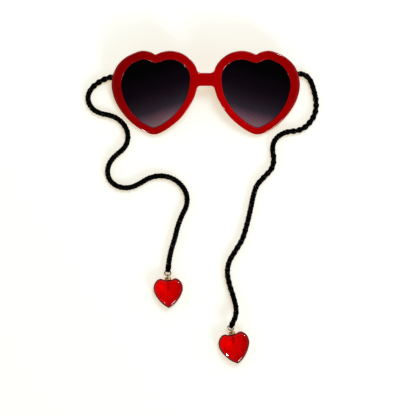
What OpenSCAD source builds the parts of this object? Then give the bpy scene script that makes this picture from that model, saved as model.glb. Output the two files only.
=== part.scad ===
// Heart shaped sunglasses with a braided cord and a glass heart charm on each side.
// They lie on their back on a table, as put down: X runs across the front, Y up the front, Z up.
// The table is z = 0, and the origin lies under the middle of the front.

/* [Front] */
// Width of one heart of the rim
heart_w = 67.4; // [58:0.2:74]
// Height of one heart of the rim, measured along the front
heart_h = 66; // [58:0.2:72]
// Gap between the two hearts at the nose
nose_gap = 11.8; // [10:0.2:20]
// Thickness of the rim, front to back
rim_t = 4; // [3.6:0.1:5]
// Width of the rim over the lobes
rim_top_w = 6.4; // [5:0.1:8]
// Width of the rim at the outer sides
rim_side_w = 7.5; // [6.5:0.1:9]
// Width of the rim along the lower sides and at the tip
rim_low_w = 5.4; // [4:0.1:7]
// Width of the rim beside the nose
rim_nose_w = 6.3; // [4.4:0.1:8]
// Rounding of the front edges of the rim
rim_edge_r = 1; // [0.5:0.1:1.3]
// Chamfer of the back edges of the rim
rim_back_chamfer = 0.5; // [0.2:0.1:0.8]
// Radius that the front is wrapped round, about an upright axis
front_r = 340; // [280:5:600]
// Angle that the front leans at while it lies on the table
lean = 14; // [13:0.5:18]

/* [Bridge] */
// Height of the bridge between the hearts
bridge_h = 10.2; // [6:0.2:14]
// Height of the middle of the bridge above the middle of the hearts
bridge_up = 10.9; // [6:0.2:14]
// Thickness of the bridge
bridge_t = 3.6; // [2.8:0.1:3.9]
// Radius of the inner corners above the bridge
bridge_top_r = 3.4; // [2:0.1:4.5]
// Radius of the inner corners below the bridge
bridge_low_r = 2.6; // [1.5:0.1:4]
// How far the nose rests stand behind the rim
nose_rest_d = 3.6; // [2:0.2:5]

/* [Lenses] */
// Thickness of a lens
lens_t = 1.8; // [1.2:0.1:2.2]
// Depth of the groove that holds the lens
groove_d = 1.2; // [0.8:0.1:1.6]
// Clearance of the lens in its groove
lens_gap = 0.1; // [0.05:0.01:0.2]

/* [Hinges] */
// Distance of the hinge axis in from the outer edge of the front
hinge_in = 6.9; // [6:0.1:8]
// Height of the hinge above the middle of the hearts
hinge_up = 11.6; // [10:0.1:13]
// Width of the hinge plate, across
plate_w = 4.2; // [3.6:0.1:5]
// Height of the hinge plate
plate_h = 7.6; // [6.8:0.1:9]
// Thickness of the hinge plate
plate_t = 0.8; // [0.6:0.1:1.2]
// Distance of the hinge axis behind the rim
axis_drop = 1.6; // [1.5:0.05:1.9]
// Outer radius of the hinge barrels
barrel_r = 1.35; // [1.2:0.05:1.45]
// Length of the middle barrel, on the cord cap
eye_w = 2; // [1.6:0.1:2.4]
// Length of each outer barrel
ear_w = 1.4; // [1:0.1:1.8]
// Gap between neighbouring barrels
barrel_gap = 0.08; // [0.05:0.01:0.12]
// Radius of the hinge screw
screw_r = 0.65; // [0.5:0.01:0.75]
// Running clearance round the hinge screw
screw_clear = 0.04; // [0.02:0.01:0.08]
// Radius of the screw head
screw_head_r = 1.1; // [0.95:0.05:1.3]
// Height of the screw head
screw_head_h = 0.6; // [0.4:0.05:0.9]
// Radius of the two pins that anchor the plate
anchor_r = 0.6; // [0.4:0.05:0.8]
// Length of the anchor pins past the plate
anchor_len = 1.3; // [0.8:0.1:1.6]

/* [Cords] */
// Diameter of the braided cord
cord_d = 4.4; // [3.6:0.1:4.8]
// Wall of the cord cap
cap_wall = 0.35; // [0.25:0.05:0.45]
// Length of cord held in the cap
cap_grip = 2.4; // [1.6:0.1:3]
// Width of the folded loop at the end of the cord
loop_w = 2.6; // [2:0.1:2.8]
// Reach from the end of the round cord to the hole of the loop
loop_reach = 2.6; // [2.2:0.1:4]
// Radius of the hole through the loop
loop_hole_r = 0.86; // [0.8:0.02:0.95]
// Radius of the nose of the loop
loop_nose_r = 1.75; // [1.6:0.05:1.85]

/* [Charms] */
// Radius of a jump ring, to the middle of its wire
ring_r = 2.4; // [2.35:0.05:2.8]
// Radius of the wire of a jump ring
ring_wire_r = 0.45; // [0.35:0.05:0.5]
// Radius of the eye of the charm, to the middle of its wire
eye_r = 1.15; // [1.1:0.05:1.3]
// Radius of the wire of the eye
eye_wire_r = 0.38; // [0.3:0.02:0.42]
// Radius of the peg in the glass heart
peg_r = 0.75; // [0.5:0.05:0.9]
// Length of the peg inside the glass heart
peg_len = 8; // [5:0.5:10]
// Radius of the small cap on the glass heart
bead_cap_r = 2.7; // [2:0.1:2.9]
// Height of the small cap below the eye
bead_cap_t = 1.6; // [1:0.1:2]
// Width of the left glass heart
charm_w = 22.9; // [18:0.1:28]
// Height of the left glass heart, from its notch to its tip
charm_h = 22; // [17:0.2:26]
// Thickness of the glass hearts
charm_t = 8; // [6:0.2:10]
// Width and height of the right glass heart over those of the left one
right_charm_size = 1.055; // [0.9:0.005:1.1]

/* [Hidden] */
$fn = 48;

// Amount by which a cut runs past the face that it opens
overrun = 0.5;
// Clearance of the small cap to the lobes of its glass heart
seat_gap = 0.3;
// Clearance of pieces that are pressed or glued together
fit_gap = 0.03;

// The middle of each heart, the hinge axis and the lens groove, worked out from the sizes above
heart_x = (nose_gap + heart_w) / 2;
hinge_x = nose_gap / 2 + heart_w - hinge_in;
groove_t = lens_t + 2 * lens_gap;
curve_steps = 3;

// Walls in front of and behind the lens groove, and how far its inner edges are rounded or chamfered
groove_wall = (rim_t - groove_t) / 2;
inner_edge_share = 0.6;
inner_edge_r = min(rim_edge_r, groove_wall * inner_edge_share);
inner_chamfer = min(rim_back_chamfer, groove_wall * inner_edge_share);

// Outline of the outer heart of one side, from the notch outwards and round to the notch again.
// Shares are of half the width and half the height of the heart.
heart_shares = [[-0.02, 0.905], [0.10, 0.965], [0.29, 0.99], [0.50, 0.915], [0.695, 0.80],
    [0.86, 0.625], [0.962, 0.40], [1, 0.155], [0.962, -0.093], [0.862, -0.336],
    [0.677, -0.596], [0.433, -0.82], [0.2, -0.955], [0.03, -1], [-0.135, -0.955],
    [-0.36, -0.81], [-0.602, -0.59], [-0.79, -0.334], [-0.919, -0.077], [-0.985, 0.18],
    [-1, 0.418], [-0.945, 0.64], [-0.80, 0.825], [-0.60, 0.955], [-0.36, 1], [-0.16, 0.965]];
// Width of the rim at some of those points, counted from the notch; it changes smoothly between them
rim_widths = [[0, rim_top_w], [3, rim_top_w], [5.5, rim_side_w], [7.5, rim_side_w], [11.5, rim_low_w],
    [17, rim_low_w], [19.5, rim_nose_w], [22, rim_top_w], [26, rim_top_w]];

// Outline of one half of the glass heart, from beside the flat seat of its cap to the tip.
// Shares are of half the width, and of the height measured down from the notch.
charm_shares = [[0.38, -0.032], [0.53, -0.046], [0.69, -0.016], [0.83, 0.046], [0.937, 0.13], [0.99, 0.227],
    [1, 0.324], [0.971, 0.42], [0.834, 0.583], [0.66, 0.718], [0.454, 0.843], [0.25, 0.93], [0.08, 0.985]];
// The point that the outlines of the glass heart shrink to, as a share of its height
charm_middle_share = 0.42;

// Route of the left cord along the table, from inside its cap to its loop
left_points = [[-69.5, 13.3, 2.6], [-73, 12.6, 2.6], [-76.7, 11.7, 2.4], [-80.8, 10, 2.25],
    [-84.8, 7.5, 2.25], [-88.4, 4.3, 2.25], [-91, 0.3, 2.25], [-91.8, -4.5, 2.25], [-90.3, -9.3, 2.25],
    [-86.8, -13.3, 2.25], [-81.5, -15.8, 2.25], [-75.6, -17.1, 2.25], [-69.9, -19.3, 2.25],
    [-65, -23.2, 2.25], [-61.8, -28.3, 2.25], [-60.7, -33.7, 2.25], [-61.6, -39, 2.25],
    [-64.6, -43.6, 2.25], [-68.7, -47.2, 2.25], [-72.7, -51.1, 2.25], [-75.6, -56, 2.25],
    [-76.5, -61.7, 2.25], [-74.8, -67.5, 2.25], [-70.2, -71.8, 2.25], [-64, -73.7, 2.25],
    [-57.6, -73.1, 2.25], [-51.4, -70.3, 2.25], [-45.4, -66.8, 2.25], [-39.6, -64.9, 2.25],
    [-33.8, -64.5, 2.25], [-28, -65.7, 2.25], [-22.2, -68.9, 2.25], [-17.3, -74.1, 2.25],
    [-14.7, -80.7, 2.25], [-15.2, -88.1, 2.25], [-18.7, -95.6, 2.25], [-21.8, -103.9, 2.25],
    [-24.1, -113, 2.25], [-26.8, -122, 2.25], [-28.4, -129.5, 2.25], [-29.1, -135.4, 2.25]];
// Route of the right cord, whose end stands a little off the table on its charm
right_points = [[69.3, 14.6, 2.6], [72.6, 15.05, 2.6], [75.8, 14.7, 2.4], [78.7, 13.2, 2.3],
    [81, 10.7, 2.25], [82.8, 7, 2.25], [84.2, 2.4, 2.25], [85.5, -2.9, 2.25], [86.1, -8.6, 2.25],
    [85.5, -14.3, 2.25], [83.4, -19.5, 2.25], [80, -24, 2.25], [75.8, -27.5, 2.25], [70.5, -29.3, 2.25],
    [65, -29.9, 2.25], [59.8, -31.6, 2.25], [55.4, -34.8, 2.25], [52.7, -39.3, 2.25], [52.2, -45, 2.25],
    [53, -51.7, 2.25], [51.3, -58.8, 2.25], [45.5, -65.3, 2.25], [39.9, -71.9, 2.25],
    [37.1, -80.1, 2.25], [35, -90.1, 2.25], [32.3, -101.6, 2.25], [28.6, -113.6, 2.25],
    [23.2, -122.8, 2.25], [18.4, -131.2, 2.25], [16.9, -140, 2.3], [18.6, -149.4, 2.6],
    [21.4, -158.4, 3.4], [23.5, -167, 4.5], [23.15, -173.6, 5.6], [20.9, -178.95, 6.4]];
// Each cord starts at a distance outside its hinge axis, and its whole route keeps to that start
left_start_out = 3.1;
right_start_out = 2.9;
left_route = [for (p = left_points) p - [hinge_x + left_start_out + left_points[0].x, 0, 0]];
right_route = [for (p = right_points) p + [hinge_x + right_start_out - right_points[0].x, 0, 0]];
// Sides of the cord's plain tube
cord_sides = 10;

// How far each charm and its ring turn from the line of the cord end, seen from above
left_charm_yaw = 8.6;
right_charm_yaw = 34.2;

// Catmull-Rom curve between two knots of four
function between(a, b, c, d, t) = 0.5 * (2 * b + (c - a) * t
    + (2 * a - 5 * b + 4 * c - d) * t * t + (3 * b - a - 3 * c + d) * t * t * t);

// Closed curve through the knots, with a corner only at the first one
function loop_curve(knots, steps) = let (
    last = len(knots) - 1,
    q = concat([2 * knots[0] - knots[1]], knots, [knots[0], 2 * knots[0] - knots[last]]))
    [for (i = [1 : last + 1]) for (j = [0 : steps - 1])
        between(q[i - 1], q[i], q[i + 1], q[i + 2], j / steps)];

// Height of the wrapped front at x, for a layer at the given height over its middle surface
function wrapped(x, layer) = sqrt(pow(front_r + layer, 2) - x * x) - front_r;

// Width of the rim at a place along its outline, counted in points of the table
function rim_w(place) = let (
    k = max([for (i = [0 : len(rim_widths) - 2]) rim_widths[i][0] <= place ? i : 0]),
    a = rim_widths[k],
    b = rim_widths[k + 1],
    t = (place - a[0]) / (b[0] - a[0]))
    a[1] + (b[1] - a[1]) * (1 - cos(180 * t)) / 2;

// Stations round the right-hand heart: outer point and width of the rim
heart_knots = [for (s = heart_shares) [heart_x + s.x * heart_w / 2, s.y * heart_h / 2]];
heart_curve = loop_curve(heart_knots, curve_steps);
station_n = len(heart_curve);
stations = [for (i = [0 : station_n - 1]) [heart_curve[i].x, heart_curve[i].y, rim_w(i / curve_steps)]];

// Direction from the outer edge of the rim into the heart
function inward(i) = let (
    a = stations[(i + station_n - 1) % station_n],
    b = stations[(i + 1) % station_n],
    d = [b.y - a.y, a.x - b.x])
    d / norm(d);

// Point of a station at a distance in from the outer edge
function across(i, distance) = [stations[i].x, stations[i].y] + inward(i) * distance;

// Section of the rim: distance in from the outer edge, and height over the middle surface
function rim_section(w) = let (
    half = rim_t / 2,
    bend = rim_edge_r * (1 - cos(45)),
    inner_bend = inner_edge_r * (1 - cos(45)))
    [[rim_back_chamfer, -half], [w - inner_chamfer, -half], [w, inner_chamfer - half],
        [w, -groove_t / 2], [w - groove_d, -groove_t / 2],
        [w - groove_d, groove_t / 2], [w, groove_t / 2],
        [w, half - inner_edge_r], [w - inner_bend, half - inner_bend], [w - inner_edge_r, half],
        [rim_edge_r, half], [bend, half - bend], [0, half - rim_edge_r], [0, rim_back_chamfer - half]];

function rim_ring(i) = [for (p = rim_section(stations[i][2]))
    let (q = across(i, p.x)) [q.x, q.y, wrapped(q.x, p.y)]];

// The front is lifted until its lowest point touches the table, and centred along Y
function leaned(p) = [p.x, p.y * cos(lean) - p.z * sin(lean), p.y * sin(lean) + p.z * cos(lean)];
rim_points = [for (i = [0 : station_n - 1]) each rim_ring(i)];
front_z = -min([for (p = rim_points) leaned(p).z]);
front_y = -(min([for (p = rim_points) leaned(p).y]) + max([for (p = rim_points) leaned(p).y])) / 2;

// Faces that join rings of points; a closed one joins the last ring to the first
function skin_faces(rings, points, closed) = let (
    last = (rings - 1) * points,
    sides = [for (i = [0 : rings - (closed ? 1 : 2)]) for (j = [0 : points - 1]) let (
        a = i * points + j,
        b = i * points + (j + 1) % points,
        c = ((i + 1) % rings) * points + (j + 1) % points,
        d = ((i + 1) % rings) * points + j)
        each [[a, b, c], [a, c, d]]],
    ends = [[for (j = [points - 1 : -1 : 0]) j], [for (j = [0 : points - 1]) last + j]])
    closed ? sides : concat(sides, ends);

module skin(rings, closed) {
    polyhedron(points = [for (r = rings) each r],
        faces = skin_faces(len(rings), len(rings[0]), closed), convexity = 8);
}

module in_front() {
    translate([0, front_y, front_z]) rotate([lean, 0, 0]) children();
}

module on_side(side) {
    mirror([side < 0 ? 1 : 0, 0, 0]) children();
}

// A layer of the wrapped front between two heights over its middle surface
module wrapped_layer(low, high) {
    translate([0, 0, -front_r]) rotate([90, 0, 0]) difference() {
        cylinder(r = front_r + high, h = 2 * heart_h, center = true, $fn = 720);
        cylinder(r = front_r + low, h = 2 * heart_h + 2 * overrun, center = true, $fn = 720);
    }
}

// How far the round corners of the bridge stand out from the hearts, as a share of their radius
corner_reach_share = 0.7;

// The bridge seen from the front, with its rounded inner corners
module bridge_plan() {
    reach = nose_gap / 2 + rim_nose_w / 2;
    top = bridge_up + bridge_h / 2;
    low = bridge_up - bridge_h / 2;
    open_top = nose_gap / 2 - bridge_top_r * corner_reach_share;
    open_low = nose_gap / 2 - bridge_low_r * corner_reach_share;
    difference() {
        translate([-reach, low - bridge_low_r]) square([2 * reach, bridge_h + bridge_low_r + bridge_top_r]);
        for (s = [-1, 1]) {
            translate([s * open_top, top + bridge_top_r]) circle(bridge_top_r);
            translate([s * open_low, low - bridge_low_r]) circle(bridge_low_r);
        }
        translate([-open_top, top]) square([2 * open_top, bridge_top_r + overrun]);
        translate([-open_low, low - bridge_low_r - overrun]) square([2 * open_low, bridge_low_r + overrun]);
    }
}

// How far the wrap sets the outer edge of the front back from its middle
front_sag = -wrapped(nose_gap / 2 + heart_w, 0);

// Places along the rim that carry a nose rest, counted in points of the outline, and its size
rest_marks = [17.6, 18.4, 19.2, 20];
rest_out_shares = [0, 1, 1, 0];
rest_r_share = 0.25;
rest_r = rim_nose_w * rest_r_share;
rest_middle_share = 0.45;

// One nose rest, a ridge moulded on the back of the rim
module nose_rest() {
    for (k = [1 : len(rest_marks) - 1]) hull() for (m = [k - 1, k]) let (
        i = round(rest_marks[m] * curve_steps),
        q = across(i, stations[i][2] * rest_middle_share),
        out = rest_out_shares[m] * (nose_rest_d - rest_r))
        translate([q.x, q.y, wrapped(q.x, -rim_t / 2 - out)]) sphere(rest_r, $fn = 24);
}

// The hinge frame: on the back of the rim, x outwards, y up the front, z into the rim
plate_lap_share = 0.12;
plate_x = hinge_x + plate_w / 2 - barrel_r * plate_lap_share;
hinge_turn = asin(plate_x / front_r);
axis_x = (hinge_x - plate_x) / cos(hinge_turn);
barrels_w = eye_w + 2 * barrel_gap + 2 * ear_w;
anchor_place_share = 0.17;

module at_hinge(side) {
    in_front() on_side(side)
        translate([plate_x, hinge_up, wrapped(plate_x, -rim_t / 2)]) rotate([0, hinge_turn, 0]) children();
}

// A cylinder along the hinge axis, centred at a height over the middle of the hinge
module along_axis(r, h, up) {
    translate([axis_x, up, -axis_drop]) rotate([90, 0, 0]) cylinder(r = r, h = h, center = true);
}

// Plate and anchor pins of a hinge leaf, grown by a clearance for the pocket that takes them
module plate_shape(gap) {
    translate([-plate_w / 2 - gap, -plate_h / 2 - gap, -gap * overrun])
        cube([plate_w + 2 * gap, plate_h + 2 * gap, plate_t + gap * (1 + overrun)]);
    for (s = [-1, 1]) translate([plate_w * anchor_place_share, s * (plate_h / 2 - 2 * anchor_r), 0])
        cylinder(r = anchor_r + gap, h = plate_t + anchor_len + gap);
}

module half_front() {
    difference() {
        union() {
            skin([for (i = [0 : station_n - 1]) rim_ring(i)], true);
            nose_rest();
        }
        translate([plate_x, hinge_up, wrapped(plate_x, -rim_t / 2)]) rotate([0, hinge_turn, 0]) {
            plate_shape(fit_gap);
            translate([-plate_w / 2 - fit_gap, -plate_h / 2 - fit_gap, -overrun])
                cube([plate_w + 2 * fit_gap, plate_h + 2 * fit_gap, overrun + plate_t / 2]);
        }
    }
}

module front_frame() {
    color("crimson") in_front() union() {
        half_front();
        mirror([1, 0, 0]) half_front();
        intersection() {
            linear_extrude(height = 2 * rim_t, center = true) bridge_plan();
            wrapped_layer(-bridge_t / 2, bridge_t / 2);
        }
    }
}

module lens(side) {
    reach = groove_d - lens_gap;
    color([0.16, 0.13, 0.18, 0.9]) in_front() on_side(side) intersection() {
        translate([0, 0, -front_sag - rim_t]) linear_extrude(height = front_sag + 2 * rim_t)
            polygon([for (i = [0 : station_n - 1]) across(i, stations[i][2] - reach)]);
        wrapped_layer(-lens_t / 2, lens_t / 2);
    }
}

module hinge_leaf(side) {
    plate_edge = -plate_w / 2 - axis_x;
    color("silver") at_hinge(side) difference() {
        union() {
            plate_shape(0);
            for (s = [-1, 1]) {
                up = s * (barrels_w - ear_w) / 2;
                along_axis(barrel_r, ear_w, up);
                translate([axis_x, up, 0]) rotate([90, 0, 0]) linear_extrude(height = ear_w, center = true)
                    polygon([[plate_edge, plate_t / 2], [plate_edge, 0], [-barrel_r / 2, -axis_drop],
                        [barrel_r, -axis_drop], [barrel_r, plate_t / 2]]);
            }
        }
        along_axis(screw_r + screw_clear, barrels_w, barrels_w / 2);
        along_axis(screw_r + fit_gap, barrels_w + overrun, -barrels_w / 2);
    }
}

module hinge_screw(side) {
    head_up = barrels_w / 2 + screw_head_h / 2;
    color("gainsboro") at_hinge(side) difference() {
        union() {
            along_axis(screw_r, barrels_w, 0);
            along_axis(screw_head_r, screw_head_h, head_up);
        }
        translate([axis_x, head_up + screw_head_h / 2, -axis_drop])
            cube([2 * screw_head_r + overrun, screw_head_h, screw_r / 2], center = true);
    }
}

// Turns the y axis to a direction in space; used for all that lies in line with a cord
function heading(d) = atan2(d.y, d.x) - 90;
function rise(d) = atan2(d.z, norm([d.x, d.y]));

// A point given in a frame that is turned about z by yaw, then tipped about its own x by pitch
function turned(p, yaw, pitch) = let (
    q = [p.x, p.y * cos(pitch) - p.z * sin(pitch), p.y * sin(pitch) + p.z * cos(pitch)])
    [q.x * cos(yaw) - q.y * sin(yaw), q.x * sin(yaw) + q.y * cos(yaw), q.z];

module frame_at(p, yaw, pitch) {
    translate(p) rotate([0, 0, yaw]) rotate([pitch, 0, 0]) children();
}

function start_run(route) = route[1] - route[0];
function end_run(route) = route[len(route) - 1] - route[len(route) - 2];
function route_end(route) = route[len(route) - 1];

// A point in space as the hinge frame of its side sees it
function in_hinge(p, side) = let (
    q = [side * p.x, p.y - front_y, p.z - front_z],
    l = [q.x - plate_x, q.y * cos(lean) + q.z * sin(lean) - hinge_up,
        q.z * cos(lean) - q.y * sin(lean) - wrapped(plate_x, -rim_t / 2)])
    [l.x * cos(hinge_turn) - l.z * sin(hinge_turn), l.y, l.x * sin(hinge_turn) + l.z * cos(hinge_turn)];

// The cord cap: a barrel on the hinge screw, a tongue and a round cup for the cord
cap_end_t = 1.05;
cap_r = cord_d / 2 + fit_gap + cap_wall;
tongue_root_share = 0.98;
tongue_top_share = 0.7;
tongue_low_share = 0.5;

module cord_cap(side, route) {
    run = start_run(route);
    root = barrel_r * tongue_root_share;
    back = in_hinge(route[0] - run / norm(run) * cap_end_t / 2, side) - [axis_x, 0, -axis_drop];
    color("dimgray") difference() {
        union() {
            at_hinge(side) {
                along_axis(barrel_r, eye_w, 0);
                translate([axis_x, 0, -axis_drop]) rotate([90, 0, 0])
                    linear_extrude(height = eye_w, center = true)
                        polygon([[0, root], [back.x, back.z + cap_r * tongue_top_share],
                            [back.x, back.z - cap_r * tongue_low_share], [0, -root]]);
            }
            frame_at(route[0], heading(run), rise(run)) rotate([-90, 0, 0])
                translate([0, 0, -cap_end_t]) cylinder(r = cap_r, h = cap_end_t + cap_grip);
        }
        at_hinge(side) along_axis(screw_r + screw_clear, barrels_w, 0);
        frame_at(route[0], heading(run), rise(run)) rotate([-90, 0, 0])
            cylinder(r = cord_d / 2 + fit_gap, h = cap_grip + overrun);
    }
}

// Direction of the cord at a point of its route
function run_at(route, i) = let (
    last = len(route) - 1,
    d = route[min(i + 1, last)] - route[max(i - 1, 0)])
    d / norm(d);

module cord(route) {
    color("black") skin([for (i = [0 : len(route) - 1]) let (d = run_at(route, i))
        [for (k = [0 : cord_sides - 1]) let (a = 360 * k / cord_sides)
            route[i] + turned([cord_d / 2 * cos(a), 0, cord_d / 2 * sin(a)], heading(d), rise(d))]], false);
}

// The folded end of the braid, with the hole that the jump ring hangs in
module cord_loop(route) {
    run = end_run(route);
    bound_len = loop_reach - loop_hole_r - ring_wire_r;
    color("black") frame_at(route_end(route), heading(run), rise(run)) difference() {
        union() {
            rotate([-90, 0, 0]) cylinder(r = cord_d / 2, h = bound_len);
            rotate([0, 90, 0]) linear_extrude(height = loop_w, center = true) {
                translate([0, loop_reach]) circle(loop_nose_r);
                translate([-loop_nose_r, 0]) square([2 * loop_nose_r, loop_reach]);
            }
        }
        translate([0, loop_reach, 0]) rotate([0, 90, 0])
            cylinder(r = loop_hole_r, h = loop_w + overrun, center = true);
    }
}

// The hole of the loop, the middle of the ring and the eye of the charm, in space.
// The ring dips or climbs until the glass heart lies flat on the table.
ring_span = ring_r - (ring_r - sqrt(ring_r * ring_r - loop_w * loop_w / 4)) / 2;
table_gap = 0.02;

function loop_hole(route) = let (run = end_run(route))
    route_end(route) + turned([0, loop_reach, 0], heading(run), rise(run));
function ring_pitch(route, yaw) =
    asin((charm_t / 2 + table_gap - loop_hole(route).z) / (ring_span + ring_r * cos(yaw)));
function ring_middle(route, yaw) =
    loop_hole(route) + turned([0, ring_span, 0], heading(end_run(route)), ring_pitch(route, yaw));
function eye_middle(route, yaw) = ring_middle(route, yaw)
    + turned([-ring_r * sin(yaw), ring_r * cos(yaw), 0], heading(end_run(route)), ring_pitch(route, yaw));

// The ring is bent from wire, with its ends butted together at one side
ring_gap_deg = 4;

module jump_ring(route, yaw) {
    color("silver") frame_at(ring_middle(route, yaw), heading(end_run(route)), ring_pitch(route, yaw))
        rotate([0, 0, ring_gap_deg / 2]) rotate_extrude(angle = 360 - ring_gap_deg)
            translate([ring_r, 0]) circle(ring_wire_r, $fn = 24);
}

module at_charm(route, yaw) {
    frame_at(eye_middle(route, yaw), heading(end_run(route)) + yaw, 0) children();
}

// Places along a charm, measured from the middle of its eye
cap_top = eye_r + eye_wire_r;
notch_at = cap_top + bead_cap_t + fit_gap;
cap_top_share = 0.75;
recess_share = 0.53;

module screw_eye(route, yaw) {
    neck_r = (peg_r + eye_wire_r) / 2;
    color("gold") at_charm(route, yaw) union() {
        rotate([0, 90, 0]) rotate_extrude() translate([eye_r, 0]) circle(eye_wire_r, $fn = 24);
        translate([0, eye_r, 0]) rotate([-90, 0, 0]) cylinder(r = neck_r, h = eye_wire_r + overrun);
        translate([0, cap_top, 0]) rotate([-90, 0, 0]) cylinder(r = peg_r, h = notch_at - cap_top + peg_len);
    }
}

// Outline of the domed cap: shares of its radius, and of its height from its open top to the glass
bell_shares = [[0.61, 0], [0.72, 0.06], [0.83, 0.2], [0.91, 0.42], [0.96, 0.68], [1, 0.9], [0.985, 1]];

// The open top of the cap holds the foot of the eye, in a recess that narrows to the bore
module bead_cap(route, yaw) {
    bore = peg_r + fit_gap;
    top = eye_r * cap_top_share;
    height = cap_top + bead_cap_t - top;
    color("gold") at_charm(route, yaw) translate([0, top, 0]) rotate([-90, 0, 0]) rotate_extrude()
        polygon(concat([[bore, height], [bore, cap_top - top + fit_gap], [bead_cap_r * recess_share, 0]],
            [for (s = bell_shares) [s.x * bead_cap_r, s.y * height]]));
}

// Outline of a glass heart of a size, and its layers from the front to the back
seat_r = bead_cap_r + seat_gap;
function charm_half(size) = concat([[0, 0], [seat_r, 0]],
    [for (s = charm_shares) [s.x * charm_w / 2, s.y * charm_h] * size]);
function charm_knots(size) = let (half = charm_half(size))
    concat(half, [[0, charm_h * size]], [for (i = [len(half) - 1 : -1 : 1]) [-half[i].x, half[i].y]]);
charm_steps = 2;
charm_layers = 10;
charm_flat_share = 0.45;
charm_dome_share = 0.8;

function charm_layer(k, outline, size) = let (
    a = 90 - 180 * (k + 0.5) / charm_layers,
    shrink = pow(cos(a), charm_flat_share),
    up = sign(a) * pow(abs(sin(a)), charm_dome_share) * charm_t / 2,
    middle = [0, charm_h * size * charm_middle_share])
    [for (p = outline) let (q = middle + (p - middle) * shrink) [q.x, notch_at + q.y, up]];

module glass_heart(route, yaw, size) {
    outline = loop_curve(charm_knots(size), charm_steps);
    color([0.85, 0.02, 0.05, 0.85]) at_charm(route, yaw) difference() {
        skin([for (k = [0 : charm_layers - 1]) charm_layer(k, outline, size)], false);
        translate([0, cap_top, 0]) rotate([-90, 0, 0])
            cylinder(r = peg_r + fit_gap, h = notch_at - cap_top + peg_len + fit_gap);
    }
}

module left_lens() { lens(-1); }
module right_lens() { lens(1); }
module left_hinge_leaf() { hinge_leaf(-1); }
module right_hinge_leaf() { hinge_leaf(1); }
module left_hinge_screw() { hinge_screw(-1); }
module right_hinge_screw() { hinge_screw(1); }
module left_cord_cap() { cord_cap(-1, left_route); }
module right_cord_cap() { cord_cap(1, right_route); }
module left_cord() { cord(left_route); }
module right_cord() { cord(right_route); }
module left_cord_loop() { cord_loop(left_route); }
module right_cord_loop() { cord_loop(right_route); }
module left_jump_ring() { jump_ring(left_route, left_charm_yaw); }
module right_jump_ring() { jump_ring(right_route, right_charm_yaw); }
module left_bead_cap() { bead_cap(left_route, left_charm_yaw); }
module right_bead_cap() { bead_cap(right_route, right_charm_yaw); }
module left_screw_eye() { screw_eye(left_route, left_charm_yaw); }
module right_screw_eye() { screw_eye(right_route, right_charm_yaw); }
module left_glass_heart() { glass_heart(left_route, left_charm_yaw, 1); }
module right_glass_heart() { glass_heart(right_route, right_charm_yaw, right_charm_size); }

front_frame();
left_lens();
right_lens();
left_hinge_leaf();
right_hinge_leaf();
left_hinge_screw();
right_hinge_screw();
left_cord_cap();
right_cord_cap();
left_cord();
right_cord();
left_cord_loop();
right_cord_loop();
left_jump_ring();
right_jump_ring();
left_bead_cap();
right_bead_cap();
left_screw_eye();
right_screw_eye();
left_glass_heart();
right_glass_heart();
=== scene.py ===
# %% [markdown]
# # Heart shaped sunglasses with braided cords
#
# A pair of moulded red sunglasses lies on its back on a pale table. A black braided cord comes from
# each hinge, wanders over the table and ends in a ring, a gold fitting and a red glass heart.
#
# The construction model gives every piece its place and size. It could be dressed piece by piece in
# the editor, but a script rebuilds the same picture each time, and each size stays a named value.
# All lengths here are in metres, and real sizes are written in millimetres times MM.

# %% Load the construction model
import math
import bmesh
import bpy
import numpy as np
from mathutils import Matrix, Vector


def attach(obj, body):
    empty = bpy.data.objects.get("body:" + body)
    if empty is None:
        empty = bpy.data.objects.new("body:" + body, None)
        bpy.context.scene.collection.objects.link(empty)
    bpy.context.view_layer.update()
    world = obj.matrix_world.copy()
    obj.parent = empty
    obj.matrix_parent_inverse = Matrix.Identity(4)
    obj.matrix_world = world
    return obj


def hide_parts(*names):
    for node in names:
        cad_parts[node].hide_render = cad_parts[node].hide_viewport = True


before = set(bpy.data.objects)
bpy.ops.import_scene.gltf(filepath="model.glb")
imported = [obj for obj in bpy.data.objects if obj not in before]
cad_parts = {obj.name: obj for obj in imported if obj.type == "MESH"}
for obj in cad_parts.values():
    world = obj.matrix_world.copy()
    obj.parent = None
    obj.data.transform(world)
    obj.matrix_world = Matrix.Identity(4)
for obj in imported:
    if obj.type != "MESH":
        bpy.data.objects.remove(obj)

MM = 0.001
TURN = 2 * math.pi
SIDES = ("left", "right")
scene = bpy.context.scene
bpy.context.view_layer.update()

# %% [markdown]
# ## Camera
#
# The photo is taken from straight above, with the whole object in a square frame. A telephoto lens
# from 1.6 m keeps the charms and the front, which lie at different heights, at one scale. An
# orthographic camera would do almost the same, but a real view still shows a little of the inner
# walls of the rims, which helps them look solid.

# %% Camera
FRAME_WIDTH = 322.4 * MM          # what the picture takes in from side to side ...
FRAME_OVER_TABLE = 12 * MM        # ... at this height over the table
CAMERA_PLACE = (1.74 * MM, -89.5 * MM, 1.6)
SENSOR_WIDTH = 36                 # sensors and focal lengths are counted in millimetres
FAR_CLIP = 20

camera = bpy.data.objects.new("camera", bpy.data.cameras.new("camera"))
scene.collection.objects.link(camera)
camera.location = CAMERA_PLACE
camera.data.sensor_width = SENSOR_WIDTH
camera.data.lens = SENSOR_WIDTH * (CAMERA_PLACE[2] - FRAME_OVER_TABLE) / FRAME_WIDTH
camera.data.clip_end = FAR_CLIP
scene.camera = camera
scene.view_settings.view_transform = "Standard"
print("focal length", round(camera.data.lens, 1), "mm")

# %% [markdown]
# ## Nodes
#
# Every material and every node tree below is made of the same few steps: add a node, set what it
# says, and link what feeds it. One helper does all three, so a tree reads from top to bottom.
# Colours are written as sRGB hex values, the way a colour picker shows them, and one function
# turns them into the linear values that the renderer works in.
#
# Some nodes have several inputs of one name, so these are called by number. The numbers of the two
# that come up most, a colour mix and a map range, get names first.

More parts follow.
